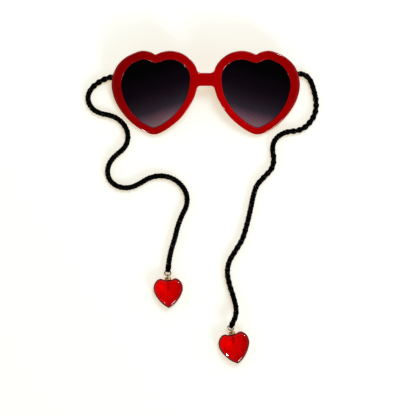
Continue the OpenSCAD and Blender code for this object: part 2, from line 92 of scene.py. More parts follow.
# %% Helpers for nodes and colours
MIX, FIRST, SECOND = 0, 6, 7
IN_LOW, IN_HIGH, OUT_LOW, OUT_HIGH = 1, 2, 3, 4


def linear(hex_code):
    """The linear colour of an sRGB hex value."""
    parts = [int(hex_code[i:i + 2], 16) / 255 for i in (1, 3, 5)]
    parts = [c / 12.92 if c <= 0.04045 else ((c + 0.055) / 1.055) ** 2.4 for c in parts]
    return (*parts, 1.0)


def grey(level):
    """A linear grey of a level from 0 to 1."""
    return (level, level, level, 1)


def add(tree, kind, feeds=None, **settings):
    """Adds a node; feeds gives each input its value, or the output socket that it is linked to."""
    node = tree.nodes.new(kind)
    for name, value in settings.items():
        setattr(node, name, value)
    for key, value in (feeds or {}).items():
        if isinstance(value, bpy.types.NodeSocket):
            tree.links.new(value, node.inputs[key])
        else:
            node.inputs[key].default_value = value
    return node


def set_stops(ramp, stops):
    """Gives a colour ramp its stops, each a position from 0 to 1 and a linear colour."""
    elements = ramp.color_ramp.elements
    while len(elements) < len(stops):
        elements.new(0.5)
    for element, (position, colour) in zip(elements, stops):
        element.position = position
        element.color = colour


def new_material(name):
    """An empty node material: its tree and its output node."""
    material = bpy.data.materials.new(name)
    material.use_nodes = True
    material.node_tree.nodes.clear()
    print("material:", name)
    return material, material.node_tree, material.node_tree.nodes.new("ShaderNodeOutputMaterial")


def dress(piece, material):
    """Gives a piece one material."""
    piece.data.materials.clear()
    piece.data.materials.append(material)


# %% [markdown]
# ## Table
#
# The object lies on white card that runs out of the picture. Plain white card would turn grey in the
# shadows, but under warm light they are cream. So part of the card's white is a warm glow that only
# the camera sees, straight or through the glass, and for the same rays the card itself is tinted
# blue, so that glow and card add up to white where the light is full.

# %% Table
FLOOR_SIZE = 4.0
CLOUDS_ACROSS = 25            # faint clouds in the white, from one end of the card to the other
GLOW_THROUGH_GLASS = 1.08     # a little more than the camera sees straight, as glass takes some

card, tree, output = new_material("white card")
ray = add(tree, "ShaderNodeLightPath")
seen = add(tree, "ShaderNodeMath", {0: ray.outputs["Is Camera Ray"],
                                    1: ray.outputs["Is Transmission Ray"]}, operation="MAXIMUM")
clouds = add(tree, "ShaderNodeTexNoise", {"Scale": CLOUDS_ACROSS, "Detail": 3})
paper = add(tree, "ShaderNodeMix", {MIX: clouds.outputs["Fac"], FIRST: linear("#F3F2F0"),
                                    SECOND: linear("#F7F6F5")}, data_type="RGBA")
tinted = add(tree, "ShaderNodeMix", {MIX: seen.outputs[0], FIRST: paper.outputs[2],
                                     SECOND: linear("#C4E4F9")}, data_type="RGBA")
matt = add(tree, "ShaderNodeBsdfPrincipled", {"Base Color": tinted.outputs[2], "Roughness": 0.9,
                                              "Specular IOR Level": 0.0})
strength = add(tree, "ShaderNodeMath", {0: ray.outputs["Is Transmission Ray"], 1: GLOW_THROUGH_GLASS,
                                        2: ray.outputs["Is Camera Ray"]}, operation="MULTIPLY_ADD")
glow = add(tree, "ShaderNodeEmission", {"Color": linear("#CEB68E"), "Strength": strength.outputs[0]})
glowing = add(tree, "ShaderNodeAddShader", {0: matt.outputs[0], 1: glow.outputs[0]})
tree.links.new(glowing.outputs[0], output.inputs["Surface"])

half = FLOOR_SIZE / 2
floor_mesh = bpy.data.meshes.new("floor")
floor_mesh.from_pydata([(-half, -half, 0), (half, -half, 0), (half, half, 0), (-half, half, 0)], [],
                       [(0, 1, 2, 3)])
floor = bpy.data.objects.new("floor", floor_mesh)
scene.collection.objects.link(floor)
dress(floor, card)
print("floor", FLOOR_SIZE, "m square")

# %% [markdown]
# ## Room
#
# Shiny pieces are shaped by what they mirror, so the room matters more than the lamps. A plain white
# world would wash out the lenses and the red rims. This room is bright up to about a third of the
# way from the horizon to the zenith and dark overhead, which keeps their colour deep, and mirror
# images show it much dimmer than it lights the table. The camera sees plain white, also through glass.

# %% Room light
ROOM_LEVELS = [(0.0, 0.35), (0.25, 0.8), (0.55, 0.9), (0.74, 0.12), (0.82, 0.03), (1.0, 0.02)]
MIRRORED_SHARE = 0.18

world = bpy.data.worlds.new("room")
world.use_nodes = True
scene.world = world
tree = world.node_tree
tree.nodes.clear()
direction = add(tree, "ShaderNodeTexCoord")
split = add(tree, "ShaderNodeSeparateXYZ", {0: direction.outputs["Generated"]})
room = add(tree, "ShaderNodeValToRGB", {0: split.outputs["Z"]})
set_stops(room, [(height, grey(level)) for height, level in ROOM_LEVELS])
ray = add(tree, "ShaderNodeLightPath")
share = add(tree, "ShaderNodeMapRange", {0: ray.outputs["Is Diffuse Ray"], OUT_LOW: MIRRORED_SHARE,
                                         OUT_HIGH: 1.0})
around = add(tree, "ShaderNodeBackground", {"Color": room.outputs[0], "Strength": share.outputs[0]})
white = add(tree, "ShaderNodeBackground", {"Color": linear("#FFFFFF"), "Strength": 1.0})
seen = add(tree, "ShaderNodeMath", {0: ray.outputs["Is Camera Ray"],
                                    1: ray.outputs["Is Transmission Ray"]}, operation="MAXIMUM")
choice = add(tree, "ShaderNodeMixShader", {0: seen.outputs[0], 1: around.outputs[0], 2: white.outputs[0]})
output = tree.nodes.new("ShaderNodeOutputWorld")
tree.links.new(choice.outputs[0], output.inputs["Surface"])
print("room:", len(ROOM_LEVELS), "levels from the horizon to the zenith")

# %% [markdown]
# ## Lamps
#
# Two soft lamps light the table and make soft shadows. The front one is mirrored too, and shapes the
# metal and the rims. The back one isn't, because its mirror image would lie as a pale patch on both
# glass hearts. Two small lamps do the opposite: they give no light, and only leave sparks on edges,
# metal and cords. One big lamp would be simpler, but it can't do both jobs.

# %% Lamps
TABLE_MIDDLE = (0, -80 * MM, 0)


def add_lamp(name, place, size, power, lights=True, mirrored=True):
    """A square lamp that looks at the table; it can give light, be mirrored, or both."""
    data = bpy.data.lights.new(name, "AREA")
    data.size = size
    data.energy = power
    lamp = bpy.data.objects.new(name, data)
    scene.collection.objects.link(lamp)
    lamp.visible_diffuse = lights
    lamp.visible_glossy = mirrored
    lamp.location = place
    lamp.rotation_euler = (Vector(TABLE_MIDDLE) - Vector(place)).to_track_quat("-Z", "Y").to_euler()


add_lamp("front softbox", (1.3, -1.7, 1.1), 0.5, 15)
add_lamp("back softbox", (0.4, 0.85, 1.5), 0.7, 13, mirrored=False)
add_lamp("front spark", (-0.85, -1.3, 1.2), 0.08, 12, lights=False)
add_lamp("back spark", (1.1, 0.9, 0.9), 0.08, 7, lights=False)

# %% [markdown]
# ## Cords
#
# Each cord is a round braid of four waxed leather strands, 4.4 mm thick, bought by the metre. It
# lies in loose bends on the table. A tube with a bump pattern would be quick, but the braid shows
# in the silhouette as soft scallops, so the strands are real geometry here. First come the routes:
# smooth curves through the same points as in the construction model, in millimetres.

# %% Routes of the cords
left_points = [(-69.5, 13.3, 2.6), (-73, 12.6, 2.6), (-76.7, 11.7, 2.4), (-80.8, 10, 2.25),
    (-84.8, 7.5, 2.25), (-88.4, 4.3, 2.25), (-91, 0.3, 2.25), (-91.8, -4.5, 2.25), (-90.3, -9.3, 2.25),
    (-86.8, -13.3, 2.25), (-81.5, -15.8, 2.25), (-75.6, -17.1, 2.25), (-69.9, -19.3, 2.25),
    (-65, -23.2, 2.25), (-61.8, -28.3, 2.25), (-60.7, -33.7, 2.25), (-61.6, -39, 2.25),
    (-64.6, -43.6, 2.25), (-68.7, -47.2, 2.25), (-72.7, -51.1, 2.25), (-75.6, -56, 2.25),
    (-76.5, -61.7, 2.25), (-74.8, -67.5, 2.25), (-70.2, -71.8, 2.25), (-64, -73.7, 2.25),
    (-57.6, -73.1, 2.25), (-51.4, -70.3, 2.25), (-45.4, -66.8, 2.25), (-39.6, -64.9, 2.25),
    (-33.8, -64.5, 2.25), (-28, -65.7, 2.25), (-22.2, -68.9, 2.25), (-17.3, -74.1, 2.25),
    (-14.7, -80.7, 2.25), (-15.2, -88.1, 2.25), (-18.7, -95.6, 2.25), (-21.8, -103.9, 2.25),
    (-24.1, -113, 2.25), (-26.8, -122, 2.25), (-28.4, -129.5, 2.25), (-29.1, -135.4, 2.25)]
right_points = [(69.3, 14.6, 2.6), (72.6, 15.05, 2.6), (75.8, 14.7, 2.4), (78.7, 13.2, 2.3),
    (81, 10.7, 2.25), (82.8, 7, 2.25), (84.2, 2.4, 2.25), (85.5, -2.9, 2.25), (86.1, -8.6, 2.25),
    (85.5, -14.3, 2.25), (83.4, -19.5, 2.25), (80, -24, 2.25), (75.8, -27.5, 2.25),
    (70.5, -29.3, 2.25), (65, -29.9, 2.25), (59.8, -31.6, 2.25), (55.4, -34.8, 2.25),
    (52.7, -39.3, 2.25), (52.2, -45, 2.25), (53, -51.7, 2.25), (51.3, -58.8, 2.25),
    (45.5, -65.3, 2.25), (39.9, -71.9, 2.25), (37.1, -80.1, 2.25), (35, -90.1, 2.25),
    (32.3, -101.6, 2.25), (28.6, -113.6, 2.25), (23.2, -122.8, 2.25), (18.4, -131.2, 2.25),
    (16.9, -140, 2.3), (18.6, -149.4, 2.6), (21.4, -158.4, 3.4), (23.5, -167, 4.5),
    (23.15, -173.6, 5.6), (20.9, -178.95, 6.4)]
ROUTE_STEPS = 6


def between(a, b, c, d, t):
    """A smooth curve through its knots, at a share t of the way from knot b to knot c."""
    return 0.5 * (2 * b + (c - a) * t + (2 * a - 5 * b + 4 * c - d) * t * t
                  + (3 * b - a - 3 * c + d) * t ** 3)


def open_curve(points, steps):
    """Smooth open curve through points; the ends run on straight."""
    knots = np.array(points, float)
    knots = np.vstack([2 * knots[0] - knots[1], knots, 2 * knots[-1] - knots[-2]])
    curve = [between(*knots[i:i + 4], j / steps) for i in range(len(knots) - 3) for j in range(steps)]
    return np.array(curve + [knots[-2]])


def path_length(path):
    """Length of a path along its points."""
    return float(np.linalg.norm(np.diff(path, axis=0), axis=1).sum())


routes = {"left": open_curve(left_points, ROUTE_STEPS) * MM,
          "right": open_curve(right_points, ROUTE_STEPS) * MM}
for side, route in routes.items():
    print(side, "cord", round(path_length(route) / MM, 1), "mm along", len(route), "points")


# %% [markdown]
# ### Geometry node trees
#
# The braids and the bent wires follow rules, so geometry nodes make them. Such a tree can be drawn by
# hand in the editor. Here the script builds it and gives it named sizes, runs it once on a start
# mesh and keeps the result as a plain mesh, which can be handed on like any other piece.

# %% Helpers for geometry node trees
def new_tree(name, sizes):
    """A geometry node tree with named size inputs: the tree, its input and its output node."""
    tree = bpy.data.node_groups.new(name, "GeometryNodeTree")
    tree.interface.new_socket("Geometry", in_out="INPUT", socket_type="NodeSocketGeometry")
    for label, value in sizes.items():
        kind = "NodeSocketInt" if isinstance(value, int) else "NodeSocketFloat"
        tree.interface.new_socket(label, in_out="INPUT", socket_type=kind).default_value = value
    tree.interface.new_socket("Geometry", in_out="OUTPUT", socket_type="NodeSocketGeometry")
    return tree, tree.nodes.new("NodeGroupInput"), tree.nodes.new("NodeGroupOutput")


def close_tree(tree, output, geometry, material):
    """Ends a tree the way every tree here ends: real geometry with one material."""
    real = add(tree, "GeometryNodeRealizeInstances", {0: geometry})
    smooth = add(tree, "GeometryNodeSetShadeSmooth", {0: real.outputs[0]})
    finish = add(tree, "GeometryNodeSetMaterial", {0: smooth.outputs[0], "Material": material})
    tree.links.new(finish.outputs[0], output.inputs[0])


def baked(piece, name):
    """The piece with its modifiers worked in, as a plain mesh object of a new name."""
    made = bpy.data.meshes.new_from_object(piece.evaluated_get(bpy.context.evaluated_depsgraph_get()))
    made.name = name
    bpy.data.objects.remove(piece)
    piece = bpy.data.objects.new(name, made)
    scene.collection.objects.link(piece)
    return piece


def bake_tree(name, tree, start_mesh, sizes):
    """Runs a tree on a start mesh and returns the result as a plain mesh object."""
    carrier = bpy.data.objects.new("carrier", start_mesh)
    scene.collection.objects.link(carrier)
    modifier = carrier.modifiers.new("tree", "NODES")
    modifier.node_group = tree
    for item in tree.interface.items_tree:
        if item.item_type == "SOCKET" and item.in_out == "INPUT" and item.name in sizes:
            modifier[item.identifier] = sizes[item.name]
    return baked(carrier, name)


def line_mesh(path):
    """A mesh of edges only, along a path."""
    mesh = bpy.data.meshes.new("line")
    mesh.from_pydata([tuple(p) for p in path], [(i, i + 1) for i in range(len(path) - 1)], [])
    return mesh


# %% [markdown]
# ### Waxed leather
#
# The strands are cowhide lace, dyed black right through, rolled flat and waxed. That gives a deep
# black with a soft shine that breaks up at the strands' edges, a fine grain that only shows in the
# highlights, and grey scuffs where the wax has rubbed off. A plain black would swallow the braid. The
# scuffs belong on top of a strand, so they read the crown value that the braid tree stores.

# %% Waxed leather lace
GRAIN, SCUFFED_PATCH = 0.25 * MM, 9 * MM
SCUFF_FROM, SCUFF_FULL, SCUFF_MOST = 0.62, 0.78, 0.2
WAXED_ROUGH, SCUFFED_ROUGH = 0.12, 0.3

leather, tree, output = new_material("waxed leather lace")
place = add(tree, "ShaderNodeTexCoord").outputs["Object"]
grain = add(tree, "ShaderNodeTexNoise", {"Vector": place, "Scale": 1 / GRAIN, "Detail": 3})
patches = add(tree, "ShaderNodeTexNoise", {"Vector": place, "Scale": 1 / SCUFFED_PATCH, "Detail": 4})
rubbed = add(tree, "ShaderNodeMapRange", {0: patches.outputs["Fac"], IN_LOW: SCUFF_FROM,
                                          IN_HIGH: SCUFF_FULL, OUT_LOW: 0.0, OUT_HIGH: SCUFF_MOST})
crown = add(tree, "ShaderNodeAttribute", attribute_name="crown")
scuffed = add(tree, "ShaderNodeMath", {0: rubbed.outputs[0], 1: crown.outputs["Fac"]},
              operation="MULTIPLY")
speckled = add(tree, "ShaderNodeMath", {0: scuffed.outputs[0], 1: grain.outputs["Fac"]},
               operation="MULTIPLY")
surface_tone = add(tree, "ShaderNodeMix", {MIX: speckled.outputs[0], FIRST: linear("#030303"),
                                  SECOND: linear("#3A3836")}, data_type="RGBA")
rough = add(tree, "ShaderNodeMapRange", {0: speckled.outputs[0], IN_LOW: 0.0, IN_HIGH: 0.15,
                                         OUT_LOW: WAXED_ROUGH, OUT_HIGH: SCUFFED_ROUGH})
relief = add(tree, "ShaderNodeBump", {"Height": grain.outputs["Fac"], "Strength": 0.2,
                                      "Distance": 0.05 * MM})
skin = add(tree, "ShaderNodeBsdfPrincipled", {"Base Color": surface_tone.outputs[2], "Roughness": rough.outputs[0],
                                              "Normal": relief.outputs[0], "IOR": 1.4,
                                              "Specular IOR Level": 0.1})
tree.links.new(skin.outputs[0], output.inputs["Surface"])

# %% [markdown]
# ### Round braid
#
# A round braid follows a rule: two strands wind to the right and two to the left, and each goes over
# one and under the next. It could be modelled strand by strand, but a node tree holds the rule once
# for both cords. The route is copied four times, each copy is wound round the route, and a flat oval
# is swept along it. A plain core inside keeps daylight from showing between the strands.

# %% Braid tree: the route, once for each strand
STRANDS = 4
BRAID = {"Crown Radius": 2.4 * MM, "Pitch": 9.8 * MM, "Strand Width": 2.7 * MM,
         "Strand Thickness": 1.6 * MM, "Core Radius": 1.5 * MM, "Step": 0.3 * MM, "Wander": 0.7,
         "Table Gap": 0.05 * MM, "Seed": 3.0}

tree, given, output = new_tree("round braid", BRAID)
route = add(tree, "GeometryNodeMeshToCurve", {0: given.outputs["Geometry"]})
fine = add(tree, "GeometryNodeResampleCurve", {"Curve": route.outputs[0],
                                               "Length": given.outputs["Step"]}, mode="LENGTH")
upright = add(tree, "GeometryNodeSetCurveNormal", {"Curve": fine.outputs[0]}, mode="Z_UP")
copies = add(tree, "GeometryNodeDuplicateElements", {0: upright.outputs[0], "Amount": STRANDS},
             domain="SPLINE")
print("braid of", STRANDS, "strands, one turn in", BRAID["Pitch"] / MM, "mm")

# %% Braid tree: the angle of each strand round the route
WANDER_LENGTH = 30 * MM

number = copies.outputs["Duplicate Index"]
along = add(tree, "GeometryNodeSplineParameter").outputs["Length"]
turns = add(tree, "ShaderNodeMath", {0: along, 1: given.outputs["Pitch"]}, operation="DIVIDE")
angle_run = add(tree, "ShaderNodeMath", {0: turns.outputs[0], 1: TURN}, operation="MULTIPLY")
first_pair = add(tree, "ShaderNodeMath", {0: number, 1: STRANDS / 2 - 0.5}, operation="LESS_THAN")
hand = add(tree, "ShaderNodeMath", {0: first_pair.outputs[0], 1: 2.0, 2: -1.0},
           operation="MULTIPLY_ADD")
odd = add(tree, "ShaderNodeMath", {0: number, 1: 2.0}, operation="MODULO")
phase = add(tree, "ShaderNodeMath", {0: odd.outputs[0], 1: TURN / 2}, operation="MULTIPLY")
wander_place = add(tree, "ShaderNodeMath", {0: along, 1: 1 / WANDER_LENGTH, 2: given.outputs["Seed"]},
                   operation="MULTIPLY_ADD")
wander = add(tree, "ShaderNodeTexNoise", {"W": wander_place.outputs[0], "Scale": 1.0, "Detail": 1.0},
             noise_dimensions="1D")
drift = add(tree, "ShaderNodeMath", {0: wander.outputs["Fac"], 1: given.outputs["Wander"]},
            operation="MULTIPLY")
wound = add(tree, "ShaderNodeMath", {0: angle_run.outputs[0], 1: hand.outputs[0], 2: phase.outputs[0]},
            operation="MULTIPLY_ADD")
lie = add(tree, "GeometryNodeInputNamedAttribute", {"Name": "lie"}, data_type="FLOAT")
turned = add(tree, "ShaderNodeMath", {0: wound.outputs[0], 1: lie.outputs[0]})
angle = add(tree, "ShaderNodeMath", {0: turned.outputs[0], 1: drift.outputs[0]})

# %% Braid tree: over one strand and under the next
SWAY_SHARE = 0.3        # how far a strand sways in and out, as a share of its thickness

weave = add(tree, "ShaderNodeMath", {0: angle_run.outputs[0], 1: 2.0}, operation="MULTIPLY")
weave = add(tree, "ShaderNodeMath", {0: weave.outputs[0]}, operation="COSINE")
over = add(tree, "ShaderNodeMath", {0: weave.outputs[0], 1: hand.outputs[0]}, operation="MULTIPLY")
sway = add(tree, "ShaderNodeMath", {0: given.outputs["Strand Thickness"], 1: SWAY_SHARE},
           operation="MULTIPLY")
half_lace = add(tree, "ShaderNodeMath", {0: given.outputs["Strand Thickness"], 1: 0.5},
                operation="MULTIPLY")
mean = add(tree, "ShaderNodeMath", {0: given.outputs["Crown Radius"], 1: half_lace.outputs[0]},
           operation="SUBTRACT")
mean = add(tree, "ShaderNodeMath", {0: mean.outputs[0], 1: sway.outputs[0]}, operation="SUBTRACT")
reach = add(tree, "ShaderNodeMath", {0: over.outputs[0], 1: sway.outputs[0], 2: mean.outputs[0]},
            operation="MULTIPLY_ADD")

# %% Braid tree: the strands in their places
tangent = add(tree, "GeometryNodeInputTangent").outputs[0]
normal = add(tree, "GeometryNodeInputNormal").outputs[0]
aside = add(tree, "ShaderNodeVectorMath", {0: tangent, 1: normal}, operation="CROSS_PRODUCT")
cosine = add(tree, "ShaderNodeMath", {0: angle.outputs[0]}, operation="COSINE")
sine = add(tree, "ShaderNodeMath", {0: angle.outputs[0]}, operation="SINE")
up_part = add(tree, "ShaderNodeVectorMath", {0: normal, "Scale": cosine.outputs[0]},
              operation="SCALE")
side_part = add(tree, "ShaderNodeVectorMath", {0: aside.outputs[0], "Scale": sine.outputs[0]},
                operation="SCALE")
outward = add(tree, "ShaderNodeVectorMath", {0: up_part.outputs[0], 1: side_part.outputs[0]})
kept = add(tree, "GeometryNodeCaptureAttribute", {0: copies.outputs[0]})
for kind, label, socket in (("VECTOR", "outward", outward.outputs[0]),
                            ("FLOAT", "reach", reach.outputs[0]), ("FLOAT", "over", over.outputs[0])):
    kept.capture_items.new(kind, label)
    tree.links.new(socket, kept.inputs[label])
shift = add(tree, "ShaderNodeVectorMath", {0: kept.outputs["outward"], "Scale": kept.outputs["reach"]},
            operation="SCALE")
laid = add(tree, "GeometryNodeSetPosition", {0: kept.outputs[0], "Offset": shift.outputs[0]})
facing = add(tree, "GeometryNodeSetCurveNormal", {"Curve": laid.outputs[0],
                                                  "Normal": kept.outputs["outward"]}, mode="FREE")

# %% Braid tree: lace swept along the strands, and the core
LACE_SIDES, CORE_SIDES = 12, 10
CROWN_FROM = -0.2       # where on its way up a strand starts to count as on top

crown = add(tree, "ShaderNodeMapRange", {0: kept.outputs["over"], IN_LOW: CROWN_FROM, IN_HIGH: 1.0})
marked = add(tree, "GeometryNodeStoreNamedAttribute", {0: facing.outputs[0], "Name": "crown",
                                                       "Value": crown.outputs[0]}, domain="POINT")
oval = add(tree, "GeometryNodeCurvePrimitiveCircle", {"Resolution": LACE_SIDES, "Radius": 0.5})
shape = add(tree, "ShaderNodeCombineXYZ", {0: given.outputs["Strand Thickness"],
                                           1: given.outputs["Strand Width"], 2: 1.0})
lace = add(tree, "GeometryNodeTransform", {0: oval.outputs[0], "Scale": shape.outputs[0]})
swept = add(tree, "GeometryNodeCurveToMesh", {0: marked.outputs[0], 1: lace.outputs[0],
                                              "Fill Caps": True})
ring = add(tree, "GeometryNodeCurvePrimitiveCircle", {"Resolution": CORE_SIDES,
                                                      "Radius": given.outputs["Core Radius"]})
core = add(tree, "GeometryNodeCurveToMesh", {0: upright.outputs[0], 1: ring.outputs[0],
                                             "Fill Caps": True})
whole = add(tree, "GeometryNodeJoinGeometry")
tree.links.new(swept.outputs[0], whole.inputs[0])
tree.links.new(core.outputs[0], whole.inputs[0])

# %% Braid tree: nothing goes below the table
spot = add(tree, "GeometryNodeInputPosition")
spot = add(tree, "ShaderNodeSeparateXYZ", {0: spot.outputs[0]})
pressed = add(tree, "ShaderNodeMath", {0: spot.outputs["Z"], 1: given.outputs["Table Gap"]},
              operation="MAXIMUM")
place = add(tree, "ShaderNodeCombineXYZ", {0: spot.outputs["X"], 1: spot.outputs["Y"],
                                           2: pressed.outputs[0]})
rested = add(tree, "GeometryNodeSetPosition", {0: whole.outputs[0], "Position": place.outputs[0]})
close_tree(tree, output, rested.outputs[0], leather)
braid_tree = tree
print("braid tree:", len(braid_tree.nodes), "nodes")

# %% [markdown]
# ### The two braids
#
# A soft cord twists a little as it lies, and that decides which crossings come up on top. One fixed
# angle would make both braids look machine laid. So each has a list of how far it is turned about its
# own line: shares of its length, and angles in degrees. The tree's wander adds about 20 to these.

# %% The two braids
lies = {"left": ((0, -20), (0.09, -20), (0.15, 20), (1, 20)),
        "right": ((0, 15), (0.2, 15), (0.25, -20), (0.38, -20), (0.43, 15), (1, 15))}
braid_seeds = {"left": 3.0, "right": 11.0}
cords = {}
for side in SIDES:
    start = line_mesh(routes[side])
    shares = np.linspace(0, 1, len(routes[side]))
    turned_by = np.interp(shares, *np.transpose(lies[side]))
    start.attributes.new("lie", "FLOAT", "POINT").data.foreach_set("value", np.radians(turned_by))
    cords[side] = bake_tree(side + "_braid", braid_tree, start, {**BRAID, "Seed": braid_seeds[side]})
    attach(cords[side], side + "_cord_body")
    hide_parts(side + "_cord")
    print(side, "braid:", len(cords[side].data.polygons), "faces")

# %% [markdown]
# ## Helpers for solid pieces
#
# The moulded front, the lenses, the fittings and the glass hearts are all made the same way: rows of
# points that follow a rule, joined by faces. Box modelling by hand would work too, but the rows
# come straight from the sizes of the construction model, so each piece lands where it belongs.

# %% Helpers for solid pieces
TOUCHING = 1e-7


def bridged(rings, closed):
    """Points and faces of a skin over rings of points; a closed one joins its last ring to the first."""
    count, points = len(rings), len(rings[0])
    faces = [(a * points + j, a * points + (j + 1) % points,
              (a + 1) % count * points + (j + 1) % points, (a + 1) % count * points + j)
             for a in range(count if closed else count - 1) for j in range(points)]
    if not closed:
        faces += [tuple(range(points))[::-1], tuple(range((count - 1) * points, count * points))]
    return np.array(rings, float).reshape(-1, 3), faces


def solid(name, parts, place=Matrix.Identity(4)):
    """One mesh object from several closed skins, put in its place, with its faces pointing out."""
    made = bmesh.new()
    for points, faces in parts:
        corners = [made.verts.new(p) for p in points]
        for face in faces:
            made.faces.new([corners[i] for i in face])
    bmesh.ops.remove_doubles(made, verts=made.verts, dist=TOUCHING)
    bmesh.ops.dissolve_degenerate(made, edges=made.edges, dist=TOUCHING)
    bmesh.ops.recalc_face_normals(made, faces=made.faces)
    made.transform(place)
    mesh = bpy.data.meshes.new(name)
    made.to_mesh(mesh)
    made.free()
    piece = bpy.data.objects.new(name, mesh)
    scene.collection.objects.link(piece)
    return piece


def finished(piece, body, nodes, material, sharp=35):
    """Dresses a piece, shades it smooth up to an angle and hands it to the frame."""
    dress(piece, material)
    piece.data.shade_smooth()
    piece.data.set_sharp_from_angle(angle=math.radians(sharp))
    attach(piece, body)
    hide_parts(*nodes)
    print(piece.name, len(piece.data.polygons), "faces, dressed in", material.name)


def arc(middle, radius, start, end, steps):
    """Points of an arc in a plane, between two angles in degrees."""
    angles = np.radians(np.linspace(start, end, steps + 1))
    return [(middle[0] + radius * math.cos(a), middle[1] + radius * math.sin(a)) for a in angles]


# %% [markdown]
# ## Red front
#
# The front is one injection moulding: two heart-shaped rims and a bridge, with rounded front edges, a
# groove inside each rim for its lens and two small ridges on the back for the nose. Box modelling
# with a subdivision surface is one way to make it. Here a section is swept round each heart, because
# the width of the rim changes along the outline by a rule, and then rims, bridge and nose rests are
# melted into one skin by a voxel remesh, which also gives the soft inner corners of a real moulding.

# %% Sizes of the front
HEART_W, HEART_H, NOSE_GAP = 67.4 * MM, 66 * MM, 11.8 * MM
HEART_X = (NOSE_GAP + HEART_W) / 2
RIM_T, RIM_EDGE_R, RIM_INNER_R, RIM_BACK_R = 4 * MM, 1 * MM, 0.6 * MM, 0.5 * MM
FRONT_R = 340 * MM
FRONT_AT, LEAN = (0, -0.6318 * MM, 12.608 * MM), math.radians(14)
COARSE_STEPS, FINE_STEPS = 3, 4
in_front = Matrix.Translation(FRONT_AT) @ Matrix.Rotation(LEAN, 4, "X")

# The knots of one heart, in shares of its half width and half height, from the notch at the top; and
# how wide the rim is at some places along the outline, which are counted in knots.
heart_shares = [(-0.02, 0.905), (0.10, 0.965), (0.29, 0.99), (0.50, 0.915), (0.695, 0.80), (0.86, 0.625),
    (0.962, 0.40), (1, 0.155), (0.962, -0.093), (0.862, -0.336), (0.677, -0.596), (0.433, -0.82),
    (0.2, -0.955), (0.03, -1), (-0.135, -0.955), (-0.36, -0.81), (-0.602, -0.59), (-0.79, -0.334),
    (-0.919, -0.077), (-0.985, 0.18), (-1, 0.418), (-0.945, 0.64), (-0.80, 0.825), (-0.60, 0.955),
    (-0.36, 1), (-0.16, 0.965)]
rim_marks = np.array([0, 3, 5.5, 7.5, 11.5, 17, 19.5, 22, 26])
rim_widths = np.array([6.4, 6.4, 7.5, 7.5, 5.4, 5.4, 6.3, 6.4, 6.4]) * MM
print("hearts", HEART_W / MM, "by", HEART_H / MM, "mm, leaning by", round(math.degrees(LEAN)), "degrees")


# %% Stations round a heart
def closed_curve(knots, steps):
    """Smooth closed curve through the knots, with a corner only at the first."""
    knots = np.array(knots, float)
    chain = np.vstack([2 * knots[0] - knots[1], knots, knots[0], 2 * knots[0] - knots[-1]])
    return np.array([between(*chain[i:i + 4], j / steps)
                     for i in range(len(knots)) for j in range(steps)])


def rim_width(place):
    """Width of the rim at a place along the outline, counted in its knots."""
    k = min(int(np.searchsorted(rim_marks, place, side="right")) - 1, len(rim_marks) - 2)
    t = (place - rim_marks[k]) / (rim_marks[k + 1] - rim_marks[k])
    return rim_widths[k] + (rim_widths[k + 1] - rim_widths[k]) * (1 - math.cos(math.pi * t)) / 2


outline = closed_curve([(HEART_X + x * HEART_W / 2, y * HEART_H / 2) for x, y in heart_shares],
                       COARSE_STEPS)
widths = np.array([rim_width(i / COARSE_STEPS) for i in range(len(outline))])
chord = np.roll(outline, -1, axis=0) - np.roll(outline, 1, axis=0)
inward = np.column_stack([chord[:, 1], -chord[:, 0]]) / np.linalg.norm(chord, axis=1)[:, None]
stations = closed_curve(np.column_stack([outline, widths, inward]), FINE_STEPS)


def wrapped(x, layer):
    """Height of a layer of the wrapped front at x."""
    return math.sqrt((FRONT_R + layer) ** 2 - x * x) - FRONT_R


def on_heart(station, distance, height):
    """Point at a distance in from a heart's outer edge and a height over the front's middle surface."""
    x, y = station[:2] + station[3:] * distance
    return (x, y, wrapped(x, height))


def both_sides(part):
    """A skin and its mirror image on the other side of the nose."""
    points, faces = part
    return [(points, faces), (points * np.array([-1, 1, 1]), faces)]


print("heart outline:", len(stations), "stations, rim", rim_widths.min() / MM, "to",
      rim_widths.max() / MM, "mm wide")

# %% Rims
WIDE_ROLL = 2 * MM      # how much further the front edge is rolled in where the rim is widest


def rim_section(w):
    """Section of a rim of width w: rolled over in front, and rounded at its other corners."""
    half = RIM_T / 2
    roll = RIM_EDGE_R + WIDE_ROLL * (w - rim_widths.min()) / (rim_widths.max() - rim_widths.min())
    return ([(roll * (1 + math.cos(a)), half + RIM_EDGE_R * (math.sin(a) - 1))
             for a in np.radians(np.linspace(180, 90, 7))]
            + arc((w - RIM_INNER_R, half - RIM_INNER_R), RIM_INNER_R, 90, 0, steps=5)
            + arc((w - RIM_BACK_R, RIM_BACK_R - half), RIM_BACK_R, 0, -90, steps=4)
            + arc((RIM_BACK_R, RIM_BACK_R - half), RIM_BACK_R, -90, -180, steps=4))


rims = both_sides(bridged([[on_heart(s, *p) for p in rim_section(s[2])] for s in stations], closed=True))
print("rims:", len(rims), "skins of", len(rims[0][1]), "faces")

# %% Bridge
BRIDGE_TOP, BRIDGE_LOW, BRIDGE_REACH, BRIDGE_RINGS = 16 * MM, 5.8 * MM, 9.0 * MM, 91
TOP_CORNER, TOP_CORNER_R = 3.52 * MM, 3.4 * MM
LOW_CORNER, LOW_CORNER_R = 4.08 * MM, 2.6 * MM
BRIDGE_T, BRIDGE_END_T, BRIDGE_EDGE_R = 3.6 * MM, 3.96 * MM, 1.2 * MM


def corner_rise(x, middle, radius):
    """How far the edge of the bridge has risen in its round corner, at x from the nose."""
    over = min(max(abs(x) - middle, 0), radius)
    return radius - math.sqrt(radius ** 2 - over ** 2)


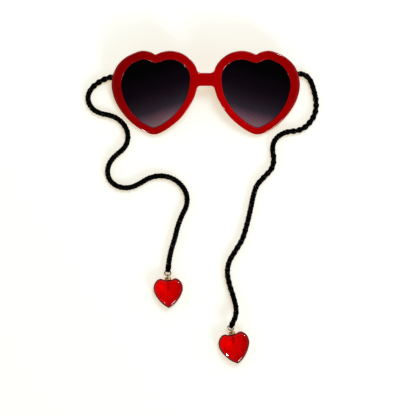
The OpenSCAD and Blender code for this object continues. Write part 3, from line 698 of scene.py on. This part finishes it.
def bridge_ring(x):
    """Section of the bridge at x, thicker towards its ends."""
    top = BRIDGE_TOP + corner_rise(x, TOP_CORNER, TOP_CORNER_R)
    low = BRIDGE_LOW - corner_rise(x, LOW_CORNER, LOW_CORNER_R)
    half = (BRIDGE_T + (BRIDGE_END_T - BRIDGE_T) * min(abs(x) / BRIDGE_REACH, 1) ** 2) / 2
    r = BRIDGE_EDGE_R
    section = (arc((top - r, half - r), r, 0, 90, steps=5) + arc((low + r, half - r), r, 90, 180, steps=5)
               + arc((low + r, r - half), r, 180, 270, steps=5)
               + arc((top - r, r - half), r, 270, 360, steps=5))
    return [(x, y, wrapped(x, z)) for y, z in section]


bridge = bridged([bridge_ring(x) for x in np.linspace(-BRIDGE_REACH, BRIDGE_REACH, BRIDGE_RINGS)],
                 closed=False)
print("bridge:", len(bridge[1]), "faces")

# %% Nose rests
REST_MARKS, REST_OUT = (17.6, 18.4, 19.2, 20), (0, 2.03 * MM, 2.03 * MM, 0)
REST_R, REST_BALLS, REST_MIDDLE = 1.57 * MM, 22, 0.45
BALL_SIDES, BALL_ROWS, BALL_END = 16, 11, 85


def ball(middle, radius):
    """A round skin of rows of points, closed at both ends by small rings."""
    x, y, z = middle
    rows = [[(x + radius * math.cos(b) * math.cos(a), y + radius * math.cos(b) * math.sin(a),
              z + radius * math.sin(b)) for a in np.linspace(0, TURN, BALL_SIDES + 1)[:-1]]
            for b in np.radians(np.linspace(-BALL_END, BALL_END, BALL_ROWS))]
    return bridged(rows, closed=False)


rests = []
for mark in np.linspace(REST_MARKS[0], REST_MARKS[-1], REST_BALLS):
    station = stations[round(mark * COARSE_STEPS * FINE_STEPS)]
    out = np.interp(mark, REST_MARKS, REST_OUT)
    rests += both_sides(ball(on_heart(station, station[2] * REST_MIDDLE, -RIM_T / 2 - out), REST_R))
print("front in the rough:", len(rims) + 1 + len(rests), "skins")

# %% Lens grooves and hinge pockets
GROOVE_D, GROOVE_T, OVERRUN = 1.2 * MM, 2 * MM, 0.5 * MM
PLATE_W, PLATE_H, PLATE_T, PLATE_GAP = 4.2 * MM, 7.6 * MM, 0.8 * MM, 0.03 * MM
PLATE_X, PLATE_UP = 68.338 * MM, 11.6 * MM


def groove_section(w):
    """Section of the lens groove in a rim of width w; it runs over into the open heart."""
    return [(w - GROOVE_D, -GROOVE_T / 2), (w + OVERRUN, -GROOVE_T / 2), (w + OVERRUN, GROOVE_T / 2),
            (w - GROOVE_D, GROOVE_T / 2)]


def box_skin(low, high, place):
    """A box between two opposite corners, in its place."""
    rings = [[place @ Vector((x, y, z)) for x, y in
              ((low[0], low[1]), (high[0], low[1]), (high[0], high[1]), (low[0], high[1]))]
             for z in (low[2], high[2])]
    return bridged(rings, closed=False)


at_hinge = (Matrix.Translation((PLATE_X, PLATE_UP, wrapped(PLATE_X, -RIM_T / 2)))
            @ Matrix.Rotation(math.asin(PLATE_X / FRONT_R), 4, "Y"))
pocket = box_skin((-PLATE_W / 2 - PLATE_GAP, -PLATE_H / 2 - PLATE_GAP, -OVERRUN),
                  (PLATE_W / 2 + PLATE_GAP, PLATE_H / 2 + PLATE_GAP, PLATE_T + PLATE_GAP), at_hinge)
groove = bridged([[on_heart(s, *p) for p in groove_section(s[2])] for s in stations], closed=True)
cutter = solid("cutter", both_sides(groove) + both_sides(pocket), in_front)
cutter.hide_render = True
print("cutter:", len(cutter.data.polygons), "faces")

# %% One moulding
VOXEL = 0.33 * MM

front = solid("rough_front", rims + [bridge] + rests, in_front)
melt = front.modifiers.new("melt", "REMESH")
melt.mode = "VOXEL"
melt.voxel_size = VOXEL
soften = front.modifiers.new("soften", "SMOOTH")
soften.factor = 0.5
soften.iterations = 5
cut = front.modifiers.new("cut", "BOOLEAN")
cut.operation = "DIFFERENCE"
cut.solver = "MANIFOLD"
cut.object = cutter
front = baked(front, "heart_front")
bpy.data.objects.remove(cutter)
print("front:", len(front.data.polygons), "faces")

# %% [markdown]
# ### Polished red plastic
#
# The front is cellulose acetate or ABS, dyed red right through and tumbled to a gloss, so there is no
# paint layer. To the eye that is a deep red with sharp small reflections, a faint ripple from the
# mould and very fine hairlines from being laid down on its face. On top of the dye, the red is
# painted brighter round a point just below the bridge and darker towards the outer ends: that is
# painted light and shade. One plain glossy red would look like computer plastic.

# %% Polished red plastic
# Painted light and shade: the red is painted brightest round this point, just below the bridge, and painted
# darker with the distance from it, fully so at the outer ends.
PAINTED_LIGHT_AT = (8 * MM, -18 * MM, 10 * MM)
PAINTED_SHADE_FROM, PAINTED_SHADE_FULL = 18 * MM, 82 * MM
CLOUD, RIPPLE = 14 * MM, 6 * MM
HAIR, HAIR_STRETCH, HAIR_ANGLE = 5 * MM, 14, math.radians(28)

red_plastic, tree, output = new_material("polished red plastic")
place = add(tree, "ShaderNodeTexCoord").outputs["Object"]
cloud = add(tree, "ShaderNodeTexNoise", {"Vector": place, "Scale": 1 / CLOUD, "Detail": 2})
from_painted_light = add(tree, "ShaderNodeVectorMath", {0: place, 1: PAINTED_LIGHT_AT}, operation="DISTANCE")
painted_shade_share = add(tree, "ShaderNodeMapRange", {0: from_painted_light.outputs["Value"], IN_LOW: PAINTED_SHADE_FROM,
                                       IN_HIGH: PAINTED_SHADE_FULL, OUT_LOW: 0.0, OUT_HIGH: 1.0})
# Painted light and shade: bright red near that point, darker red far from it.
painted_light_tint = add(tree, "ShaderNodeMix", {MIX: painted_shade_share.outputs[0], FIRST: linear("#D40003"),
                                    SECOND: linear("#A00002")}, data_type="RGBA")
cloudy = add(tree, "ShaderNodeMix", {MIX: cloud.outputs["Fac"], FIRST: linear("#D8D8D8"),
                                     SECOND: linear("#FFFFFF")}, data_type="RGBA")
# The painted light and shade, times faint random clouds in the red.
surface_tone = add(tree, "ShaderNodeMix", {MIX: 1.0, FIRST: painted_light_tint.outputs[2], SECOND: cloudy.outputs[2]},
          data_type="RGBA", blend_type="MULTIPLY")
stretch = add(tree, "ShaderNodeMapping", {"Vector": place, "Rotation": (0, 0, HAIR_ANGLE),
                                          "Scale": (1, HAIR_STRETCH, 1)})
hairs = add(tree, "ShaderNodeTexNoise", {"Vector": stretch.outputs[0], "Scale": 1 / HAIR, "Detail": 6})
worn = add(tree, "ShaderNodeMapRange", {0: hairs.outputs["Fac"], IN_LOW: 0.45, IN_HIGH: 0.75,
                                        OUT_LOW: 0.05, OUT_HIGH: 0.14})
ripple = add(tree, "ShaderNodeTexNoise", {"Vector": place, "Scale": 1 / RIPPLE, "Detail": 1})
relief = add(tree, "ShaderNodeBump", {"Height": ripple.outputs["Fac"], "Strength": 0.25,
                                      "Distance": 0.12 * MM})
skin = add(tree, "ShaderNodeBsdfPrincipled", {"Base Color": surface_tone.outputs[2], "Roughness": worn.outputs[0],
                                              "Normal": relief.outputs[0], "IOR": 1.5,
                                              "Specular IOR Level": 0.5})
tree.links.new(skin.outputs[0], output.inputs["Surface"])
finished(front, "front", ["front_frame"], red_plastic)

# %% [markdown]
# ## Gradient lenses
#
# Each lens is cut from a curved polycarbonate sheet and snapped into the groove. A solid with two
# curved faces and an edge is needed, because a single sheet of faces would have no rim where it sits
# in the groove. The outline of the heart, moved in, is shrunk row by row to the middle of the lens.

# %% Shape of the lenses
LENS_T, LENS_REACH = 1.8 * MM, 1.1 * MM
LENS_MIDDLE = np.array([HEART_X, -1 * MM])
LENS_ROWS = np.linspace(1, 0.04, 25)


def lens_skin():
    """One lens: out over its back to the edge, and in again over its face."""
    edge = np.array([s[:2] + s[3:] * (s[2] - LENS_REACH) for s in stations])
    rows = [(share, -1) for share in LENS_ROWS[::-1]] + [(share, 1) for share in LENS_ROWS]
    rings = []
    for share, face in rows:
        flat = LENS_MIDDLE + (edge - LENS_MIDDLE) * share
        rings.append([(x, y, wrapped(x, face * LENS_T / 2)) for x, y in flat])
    return bridged(rings, closed=False)


# %% [markdown]
# ### Gradient dye
# The sheet is dipped in dye and pulled out slowly, so the top is nearly black and the tip stays mauve
# grey and shows the table. Tinted glass would darken with the thickness it crosses, which is the same
# all over a sheet, so here the cover changes instead: each stop says how high it is on the lens, what
# colour the dye has there and how much it covers. The bath was a little uneven. Each lens is also
# painted darker towards its outer end, away from the nose: that is a painted dark reflection.

# %% Gradient dyed polycarbonate
LENS_TOP_Y, LENS_TIP_Y = 26 * MM, -28 * MM
LENS_TINTS = [(0.02, "#7A3E70", 0.58), (0.124, "#642C5C", 0.68), (0.267, "#2B2238", 0.862),
              (0.41, "#211623", 0.9225), (0.554, "#160D18", 0.968), (0.85, "#070507", 0.99)]
BATH_CLOUD, BATH_SWAY = 22 * MM, 0.05
# Painted dark reflection: each lens is painted darker towards its outer end, by this much per metre from
# the nose.
PAINTED_REFLECTION_SLANT = 5.5         # what each metre away from the nose adds to the level, which is 0 to 1

lens_dye_and_painted_reflection, tree, output = new_material("gradient dyed polycarbonate, painted reflection")
place = add(tree, "ShaderNodeTexCoord").outputs["Object"]
split = add(tree, "ShaderNodeSeparateXYZ", {0: place})
height = add(tree, "ShaderNodeMapRange", {0: split.outputs["Y"], IN_LOW: LENS_TIP_Y,
                                          IN_HIGH: LENS_TOP_Y, OUT_LOW: 0.0, OUT_HIGH: 1.0})
cloud = add(tree, "ShaderNodeTexNoise", {"Vector": place, "Scale": 1 / BATH_CLOUD, "Detail": 2})
bath = add(tree, "ShaderNodeMath", {0: cloud.outputs["Fac"], 1: BATH_SWAY, 2: -BATH_SWAY / 2},
           operation="MULTIPLY_ADD")
# The painted dark reflection grows with the distance from the nose.
from_nose = add(tree, "ShaderNodeMath", {0: split.outputs["X"]}, operation="ABSOLUTE")
painted_reflection = add(tree, "ShaderNodeMath", {0: from_nose.outputs[0], 1: PAINTED_REFLECTION_SLANT, 2: -PAINTED_REFLECTION_SLANT * HEART_X},
            operation="MULTIPLY_ADD")
with_painted_reflection = add(tree, "ShaderNodeMath", {0: height.outputs[0], 1: painted_reflection.outputs[0]})
level = add(tree, "ShaderNodeMath", {0: with_painted_reflection.outputs[0], 1: bath.outputs[0]})
tint = add(tree, "ShaderNodeValToRGB", {0: level.outputs[0]})
veil = add(tree, "ShaderNodeValToRGB", {0: level.outputs[0]})
set_stops(tint, [(spot, linear(hex_code)) for spot, hex_code, cover in LENS_TINTS])
set_stops(veil, [(spot, grey(cover)) for spot, hex_code, cover in LENS_TINTS])
skin = add(tree, "ShaderNodeBsdfPrincipled", {"Base Color": tint.outputs[0], "Alpha": veil.outputs[0],
                                              "Roughness": 0.05, "IOR": 1.58})
tree.links.new(skin.outputs[0], output.inputs["Surface"])

for side, part in zip(("right", "left"), both_sides(lens_skin())):
    lens = solid(side + "_gradient_lens", [part], in_front)
    finished(lens, "front", [side + "_lens"], lens_dye_and_painted_reflection)

# %% [markdown]
# ## Fittings
#
# Two jump rings, two gold bells and two screw eyes join the cords to the glass hearts. They are small
# bought fittings. A jump ring is wire bent to a circle with its ends butted together, a bell is
# pressed from sheet and plated, and a screw eye is a bent eye on a threaded peg that is glued into
# the glass. Each hangs on the one before, so their places are worked out along the chain, as in the
# construction model: the loop of the cord, the ring in it, and the eye on the ring.

# %% Places of the fittings
LOOP_REACH, LOOP_W = 2.6 * MM, 2.6 * MM
RING_R, RING_WIRE_R, RING_GAP = 2.4 * MM, 0.45 * MM, math.radians(4)
EYE_R, EYE_WIRE_R, PEG_R, PEG_LEN = 1.15 * MM, 0.38 * MM, 0.75 * MM, 8 * MM
CAP_R, CAP_T, FIT_GAP = 2.7 * MM, 1.6 * MM, 0.03 * MM
CHARM_W, CHARM_H, CHARM_T, TABLE_GAP = 22.9 * MM, 22 * MM, 8 * MM, 0.02 * MM
CAP_TOP = EYE_R + EYE_WIRE_R
NOTCH_AT = CAP_TOP + CAP_T + FIT_GAP
charm_yaw = {"left": math.radians(8.6), "right": math.radians(34.2)}
ring_span = RING_R - (RING_R - math.sqrt(RING_R ** 2 - LOOP_W ** 2 / 4)) / 2


def frame_of(place, yaw, pitch=0.0):
    """A frame at a place, turned about Z by yaw and then tipped about its own X by pitch."""
    return Matrix.Translation(place) @ Matrix.Rotation(yaw, 4, "Z") @ Matrix.Rotation(pitch, 4, "X")


at_loop, at_ring, at_charm = {}, {}, {}
for side, points in (("left", left_points), ("right", right_points)):
    run = Vector(points[-1]) - Vector(points[-2])
    heading = math.atan2(run.y, run.x) - math.pi / 2
    at_loop[side] = frame_of(Vector(points[-1]) * MM, heading, math.atan2(run.z, run.xy.length))
    hole = at_loop[side] @ Vector((0, LOOP_REACH, 0))
    yaw = charm_yaw[side]
    pitch = math.asin((CHARM_T / 2 + TABLE_GAP - hole.z) / (ring_span + RING_R * math.cos(yaw)))
    at_ring[side] = frame_of(frame_of(hole, heading, pitch) @ Vector((0, ring_span, 0)), heading, pitch)
    eye = at_ring[side] @ Vector((-RING_R * math.sin(yaw), RING_R * math.cos(yaw), 0))
    at_charm[side] = frame_of(eye, heading + yaw)
    print(side, "eye at", [round(v / MM, 2) for v in eye], "mm")


# %% [markdown]
# ### Plated metal
#
# The fittings are brass or steel with a thin plating. Fresh plating mirrors sharply, but handling
# leaves a dull film that gathers in patches, so both the tone and the gloss change a little over
# each piece. One colour and one roughness would make such small pieces look like plastic.

# %% Plated metals
FILM, FILM_FROM, FILM_FULL = 1.2 * MM, 0.35, 0.7


def plated(name, hex_code, dark_hex, rough_low, rough_high):
    """A plated metal: its name, its clean and its filmed colour, and their roughness."""
    material, tree, output = new_material(name)
    place = add(tree, "ShaderNodeTexCoord").outputs["Object"]
    film = add(tree, "ShaderNodeTexNoise", {"Vector": place, "Scale": 1 / FILM, "Detail": 4})
    tone = add(tree, "ShaderNodeMix", {MIX: film.outputs["Fac"], FIRST: linear(hex_code),
                                       SECOND: linear(dark_hex)}, data_type="RGBA")
    rough = add(tree, "ShaderNodeMapRange", {0: film.outputs["Fac"], IN_LOW: FILM_FROM,
                                             IN_HIGH: FILM_FULL, OUT_LOW: rough_low,
                                             OUT_HIGH: rough_high})
    skin = add(tree, "ShaderNodeBsdfPrincipled", {"Base Color": tone.outputs[2],
                                                  "Roughness": rough.outputs[0], "Metallic": 1.0})
    tree.links.new(skin.outputs[0], output.inputs["Surface"])
    return material


silver = plated("silver plated wire", "#D8D4D0", "#6E665E", 0.14, 0.3)
gold = plated("gold plated brass", "#FCD9A6", "#D9A468", 0.42, 0.58)

# %% [markdown]
# ### Bent wire
#
# The rings, the eyes, the thread on each peg and the thread round each cord end are all round wire
# along a circle or a coil. A torus would do for a ring, but it is closed, and here one node tree
# makes all four: with its height at 0 a spiral is an open ring, and with a height it is a coil.

# %% Wire tree and jump rings
WIRE = {"Turns": 1.0, "Radius": 1 * MM, "Height": 0.0, "Wire Radius": 0.3 * MM, "Steps": 96}
WIRE_SIDES = 20

wire_tree, given, output = new_tree("bent wire", WIRE)
bent = add(wire_tree, "GeometryNodeCurveSpiral", {
    "Resolution": given.outputs["Steps"], "Rotations": given.outputs["Turns"],
    "Start Radius": given.outputs["Radius"], "End Radius": given.outputs["Radius"],
    "Height": given.outputs["Height"]})
wire = add(wire_tree, "GeometryNodeCurvePrimitiveCircle", {"Resolution": WIRE_SIDES,
                                                           "Radius": given.outputs["Wire Radius"]})
swept = add(wire_tree, "GeometryNodeCurveToMesh", {0: bent.outputs[0], 1: wire.outputs[0],
                                                   "Fill Caps": True})
close_tree(wire_tree, output, swept.outputs[0], silver)


def bent_wire(name, sizes, place):
    """A piece of bent wire in its place; sizes that aren't given stay those of WIRE."""
    piece = bake_tree(name, wire_tree, bpy.data.meshes.new("seed"), {**WIRE, **sizes})
    piece.data.transform(place)
    return piece


for side in SIDES:
    ring = bent_wire(side + "_wire_ring", {"Turns": 1 - RING_GAP / TURN, "Radius": RING_R,
                                           "Wire Radius": RING_WIRE_R}, at_ring[side])
    finished(ring, side + "_ring_body", [side + "_jump_ring"], silver)

# %% [markdown]
# ### Bells
#
# A bell covers the hole in the glass. It is pressed from brass and has a small hollow on top, where
# the eye sits. Each bell is turned from a profile of radii and heights, as on a lathe. A Screw
# modifier would do the same, but the helper for rows of points is already at hand.

# %% Bells
BELL_AT, BELL_H = 0.8625 * MM, 2.2675 * MM
HOLLOW_R, HOLLOW_D = 1.431 * MM, CAP_TOP - BELL_AT + FIT_GAP
bell_shares = [(0.61, 0), (0.72, 0.06), (0.83, 0.2), (0.91, 0.42), (0.96, 0.68), (1, 0.9), (0.985, 1)]
across_charm = Matrix.Rotation(math.radians(-90), 4, "X")


def turned_skin(profile, sides=64):
    """A skin turned about Z from a closed profile of radii and heights."""
    angles = np.linspace(0, TURN, sides + 1)[:-1]
    return bridged([[(r * math.cos(a), r * math.sin(a), z) for r, z in profile] for a in angles],
                   closed=True)


bell_curve = open_curve([(r * CAP_R, h * BELL_H) for r, h in bell_shares], 4)
bell = turned_skin([(HOLLOW_R, 0)] + [tuple(p) for p in bell_curve] + [(PEG_R, BELL_H), (PEG_R, HOLLOW_D)])
print("bell:", len(bell[1]), "faces")

# %% [markdown]
# ### Screw eyes
#
# A screw eye is one piece of wire: an eye, a short neck and a peg with a coarse thread that grips the
# glue in the glass, and it shows dark through the red. A boolean cut would make a true thread. A thin
# wire wound round a smooth peg looks the same at this size and needs far fewer faces.

# %% Parts of a screw eye
AXIS_R = 0.02 * MM      # a turned skin stops this close to its axis
NECK_TOP_R, NECK_R, NECK_H, PEG_FROM = 0.42 * MM, 0.55 * MM, 0.5 * MM, 0.9 * MM
PEG_CORE_R, PEG_END = PEG_R * 0.8, PEG_LEN + CAP_T
POINT_R, POINT_H = 0.3 * MM, 0.4 * MM
EYE_TURNS = 0.94
THREAD_PITCH, THREAD_WIRE_R, THREAD_LEN = 1.0 * MM, 0.22 * MM, PEG_LEN - 1 * MM
peg = turned_skin([(AXIS_R, 0), (NECK_TOP_R, 0), (NECK_R, NECK_H), (PEG_CORE_R, PEG_FROM),
                   (PEG_CORE_R, PEG_END), (POINT_R, PEG_END + POINT_H), (AXIS_R, PEG_END + POINT_H)],
                  sides=32)


def joined(name, pieces):
    """One object from several, each with its place already in its mesh."""
    made = bmesh.new()
    for piece in pieces:
        made.from_mesh(piece.data)
        bpy.data.objects.remove(piece)
    mesh = bpy.data.meshes.new(name)
    made.to_mesh(mesh)
    made.free()
    whole = bpy.data.objects.new(name, mesh)
    scene.collection.objects.link(whole)
    return whole


print("peg:", len(peg[1]), "faces")

# %% The bell and the screw eye of each charm
upright_eye = Matrix.Rotation(math.radians(90), 4, "Y") @ Matrix.Rotation(math.pi, 4, "Z")
for side in SIDES:
    cap = solid(side + "_bell", [bell], at_charm[side] @ Matrix.Translation((0, BELL_AT, 0)) @ across_charm)
    finished(cap, side + "_charm", [side + "_bead_cap"], gold)
    stand = solid("stand", [peg], at_charm[side] @ Matrix.Translation((0, EYE_R, 0)) @ across_charm)
    eye = bent_wire("eye", {"Turns": EYE_TURNS, "Radius": EYE_R, "Wire Radius": EYE_WIRE_R},
                    at_charm[side] @ upright_eye)
    thread = bent_wire("thread", {"Turns": THREAD_LEN / THREAD_PITCH, "Radius": PEG_R - THREAD_WIRE_R,
                                  "Height": THREAD_LEN, "Wire Radius": THREAD_WIRE_R, "Steps": 24},
                       at_charm[side] @ Matrix.Translation((0, NOTCH_AT, 0)) @ across_charm)
    finished(joined(side + "_threaded_eye", [stand, eye, thread]), side + "_charm",
             [side + "_screw_eye"], gold)

# %% [markdown]
# ## Glass hearts
#
# A puffed heart of red pressed glass hangs from each ring. Pressed glass has soft thick edges and a
# flat face that is fire polished. An inflated cloth simulation gives puffed shapes too, but its faces
# come out round. Here the outline is shrunk ring by ring towards a middle point while it rises,
# which keeps a heart shape in each layer, and two powers say how flat the face and the edge are.

# %% Shape of the glass hearts
SEAT_R = 3.0 * MM
CHARM_MIDDLE, FLAT_POWER, DOME_POWER = 0.42, 0.45, 0.8
EDGE_ROWS, EDGE_END, OUTLINE_STEPS = 14, 78, 6
charm_shares = [(0.38, -0.032), (0.53, -0.046), (0.69, -0.016), (0.83, 0.046), (0.937, 0.13),
    (0.99, 0.227), (1, 0.324), (0.971, 0.42), (0.834, 0.583), (0.66, 0.718), (0.454, 0.843),
    (0.25, 0.93), (0.08, 0.985)]
charm_size = {"left": 1.0, "right": 1.055}
edge_rows = [(math.cos(a) ** FLAT_POWER, math.sin(a) ** DOME_POWER)
             for a in np.radians(np.linspace(0, EDGE_END, EDGE_ROWS))]
face_rows = [(s, math.sqrt(1 - s ** (2 / FLAT_POWER)) ** DOME_POWER) for s in (0.40, 0.27, 0.14, 0.02)]
half_rows = edge_rows + face_rows


def charm_skin(size):
    """A glass heart, from the middle of its back out to the edge and in over its face."""
    half_heart = [(0, 0), (SEAT_R, 0)] + [(x * CHARM_W / 2 * size, y * CHARM_H * size)
                                          for x, y in charm_shares]
    knots = half_heart + [(0, CHARM_H * size)] + [(-x, y) for x, y in half_heart[:0:-1]]
    middle = np.array([0, CHARM_H * size * CHARM_MIDDLE])
    rings = []
    for shrink, up in [(s, -u) for s, u in half_rows[:0:-1]] + half_rows:
        flat = middle + (closed_curve(knots, OUTLINE_STEPS) - middle) * shrink
        rings.append([(x, NOTCH_AT + y, up * CHARM_T / 2) for x, y in flat])
    return bridged(rings, closed=False)


# %% [markdown]
# ### Red pressed glass
#
# Light goes in, picks up the red on its way and comes out at the far side, so the heart glows in one
# lobe beside its middle and is dark in the band where its edge curves away. An absorbing volume would
# do that by itself, but at this size it is slow and noisy, so both are painted into the colour by two
# rules: a painted glow that fades with the distance from the bright lobe, and a painted dark band
# where the edge is near and turns away from the eye, which also lets less light through. Both read
# the place in the bead, which is stored before the bead is moved. Faint streaks are from the pressing.

# %% Red pressed glass
# Painted glow: the red is painted brightest round this point in one lobe, and darker out to this reach.
PAINTED_GLOW_AT, PAINTED_GLOW_REACH = (5.4 * MM, NOTCH_AT + 6 * MM, 0), 20 * MM
# The tints of the painted glow, from the bright lobe outwards.
PAINTED_GLOW_TINTS = [(0.15, "#FF0405"), (0.36, "#E20405"), (0.6, "#DC0405"), (0.9, "#9C0203")]
STREAK, STREAK_MOST, RIPPLE = 5 * MM, 0.14, 3 * MM
# Painted shade: the dark band round the edge of the glass.
PAINTED_DARK_BAND = 2.8 * MM    # up to this far from the middle layer the edge is dark; then it fades
CLEAR_MOST = 0.85

red_glass, tree, output = new_material("red pressed glass")
place = add(tree, "ShaderNodeTexCoord").outputs["Object"]
in_bead = add(tree, "ShaderNodeAttribute", attribute_name="bead_place").outputs["Vector"]
from_lobe = add(tree, "ShaderNodeVectorMath", {0: in_bead, 1: PAINTED_GLOW_AT}, operation="DISTANCE")
painted_glow_share = add(tree, "ShaderNodeMapRange", {0: from_lobe.outputs["Value"], IN_LOW: 0.0,
                                        IN_HIGH: PAINTED_GLOW_REACH})
# Painted glow: tints by the distance from the bright lobe.
painted_light_tint = add(tree, "ShaderNodeValToRGB", {0: painted_glow_share.outputs[0]})
set_stops(painted_light_tint, [(spot, linear(hex_code)) for spot, hex_code in PAINTED_GLOW_TINTS])
streaks = add(tree, "ShaderNodeTexNoise", {"Vector": place, "Scale": 1 / STREAK, "Detail": 2,
                                           "Distortion": 1.5})
swirl = add(tree, "ShaderNodeMapRange", {0: streaks.outputs["Fac"], IN_LOW: 0.3, IN_HIGH: 0.7,
                                         OUT_LOW: 0.0, OUT_HIGH: STREAK_MOST})
tone = add(tree, "ShaderNodeMix", {MIX: swirl.outputs[0], FIRST: painted_light_tint.outputs[0],
                                   SECOND: linear("#B40002")}, data_type="RGBA")
grazing = add(tree, "ShaderNodeLayerWeight", {"Blend": 0.5})
turned_away = add(tree, "ShaderNodeMapRange", {0: grazing.outputs["Facing"], IN_LOW: 0.13,
                                               IN_HIGH: 0.36, OUT_LOW: 0.0, OUT_HIGH: 1.0})
split = add(tree, "ShaderNodeSeparateXYZ", {0: in_bead})
off_middle = add(tree, "ShaderNodeMath", {0: split.outputs["Z"]}, operation="ABSOLUTE")
in_edge = add(tree, "ShaderNodeMapRange", {0: off_middle.outputs[0], IN_LOW: PAINTED_DARK_BAND,
                                           IN_HIGH: CHARM_T / 2, OUT_LOW: 1.0, OUT_HIGH: 0.0})
# Painted shade: a dark band where the edge is near and turns away from the eye; less light goes through
# there too.
painted_dark_edge = add(tree, "ShaderNodeMath", {0: turned_away.outputs[0], 1: in_edge.outputs[0]},
               operation="MULTIPLY")
clear = add(tree, "ShaderNodeMapRange", {0: painted_dark_edge.outputs[0], OUT_LOW: CLEAR_MOST, OUT_HIGH: 0.0})
# The painted dark edge colour, laid over the red of the glass.
tone = add(tree, "ShaderNodeMix", {MIX: painted_dark_edge.outputs[0], FIRST: tone.outputs[2],
                                   SECOND: linear("#520003")}, data_type="RGBA")
ripple = add(tree, "ShaderNodeTexNoise", {"Vector": place, "Scale": 1 / RIPPLE, "Detail": 1})
relief = add(tree, "ShaderNodeBump", {"Height": ripple.outputs["Fac"], "Strength": 0.3,
                                      "Distance": 0.15 * MM})
skin = add(tree, "ShaderNodeBsdfPrincipled", {"Base Color": tone.outputs[2], "Roughness": 0.04,
                                              "IOR": 1.52, "Normal": relief.outputs[0],
                                              "Transmission Weight": clear.outputs[0],
                                              "Specular IOR Level": 0.2})
tree.links.new(skin.outputs[0], output.inputs["Surface"])

# %% The two glass hearts
for side in SIDES:
    bead = solid(side + "_pressed_heart", [charm_skin(charm_size[side])])
    places = np.empty(len(bead.data.vertices) * 3)
    bead.data.vertices.foreach_get("co", places)
    bead.data.attributes.new("bead_place", "FLOAT_VECTOR", "POINT").data.foreach_set("vector", places)
    bead.data.transform(at_charm[side])
    finished(bead, side + "_charm", [side + "_glass_heart"], red_glass, sharp=60)

# %% [markdown]
# ## Cord ends
#
# At the far end each braid is whipped with waxed thread, and one lace is folded back into a small
# loop that holds the jump ring. The loop is a flat strap bent over by a rule, a straight run, half a
# turn and a straight run back, so it is swept along that path instead of being bent by a modifier.

# %% Folded strap
STRAP_T = 0.89 * MM
STRAP_MIDDLE_R = 1.75 * MM - STRAP_T / 2
STRAP_EDGE_R, STRAP_ROOT, RUN_ROWS, BEND_ROWS = 0.35 * MM, -0.3 * MM, 8, 17
STRAP_MARKS, STRAP_HALF_WIDTHS = (1.9 * MM, 2.4 * MM, 4.35 * MM), (2.15 * MM, 1.6 * MM, 1.5 * MM)


def strap_ring(y, z, lean_angle):
    """Section of the strap at a point of its path, turned to face outwards."""
    half_w, half_t, r = np.interp(y, STRAP_MARKS, STRAP_HALF_WIDTHS), STRAP_T / 2, STRAP_EDGE_R
    section = (arc((half_w - r, half_t - r), r, 0, 90, steps=4)
               + arc((r - half_w, half_t - r), r, 90, 180, steps=4)
               + arc((r - half_w, r - half_t), r, 180, 270, steps=4)
               + arc((half_w - r, r - half_t), r, 270, 360, steps=4))
    return [(x, y + t * math.cos(lean_angle), z + t * math.sin(lean_angle)) for x, t in section]


def strap_skin():
    """The whole strap: out on top, round the bend and back below."""
    rings = [strap_ring(y, STRAP_MIDDLE_R, math.pi / 2)
             for y in np.linspace(STRAP_ROOT, LOOP_REACH, RUN_ROWS)]
    rings += [strap_ring(LOOP_REACH + STRAP_MIDDLE_R * math.cos(a), STRAP_MIDDLE_R * math.sin(a), a)
              for a in np.linspace(math.pi / 2, -math.pi / 2, BEND_ROWS)[1:-1]]
    rings += [strap_ring(y, -STRAP_MIDDLE_R, -math.pi / 2)
              for y in np.linspace(LOOP_REACH, STRAP_ROOT, RUN_ROWS)]
    return bridged(rings, closed=False)


# %% Whipping
WHIP_LEN, WHIP_TURNS, WHIP_R, WHIP_WIRE_R = 1.29 * MM, 3.0, 2.05 * MM, 0.24 * MM
BOUND_R, BOUND_BACK, BOUND_BACK_R, BOUND_TIP_R = 2.1 * MM, -0.6 * MM, 1.9 * MM, 1.6 * MM
binding = turned_skin([(AXIS_R, BOUND_BACK), (BOUND_BACK_R, BOUND_BACK), (BOUND_R, -0.2 * MM),
                       (BOUND_R, WHIP_LEN - 0.5 * MM), (BOUND_TIP_R, WHIP_LEN), (AXIS_R, WHIP_LEN)],
                      sides=32)
for side in SIDES:
    strap = solid("strap", [strap_skin()], at_loop[side])
    knot = solid("binding", [binding], at_loop[side] @ across_charm)
    whip = bent_wire("whip", {"Turns": WHIP_TURNS, "Radius": WHIP_R, "Height": WHIP_LEN - 0.2 * MM,
                              "Wire Radius": WHIP_WIRE_R, "Steps": 32}, at_loop[side] @ across_charm)
    finished(joined(side + "_whipped_loop", [strap, knot, whip]), side + "_cord_body",
             [side + "_cord_loop"], leather)

# %% [markdown]
# ## Hinges
#
# The hinges, screws and cord caps are simple turned and stamped metal, and the construction model
# already has their true shape. They could be built again with softer edges, but they hide behind the
# front and are a few millimetres long, so its solids stay and only get their finish.

# %% Metal of the hinges
steel = plated("nickel plated steel", "#C9C9C6", "#8E8E8C", 0.22, 0.42)
black_metal = plated("black plated brass", "#2A2A2C", "#151516", 0.20, 0.42)
for side in SIDES:
    for name, material in (("hinge_leaf", steel), ("hinge_screw", steel), ("cord_cap", black_metal)):
        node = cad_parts[side + "_" + name]
        for slot in node.material_slots:
            slot.material = material
        print(node.name, "dressed in", material.name)
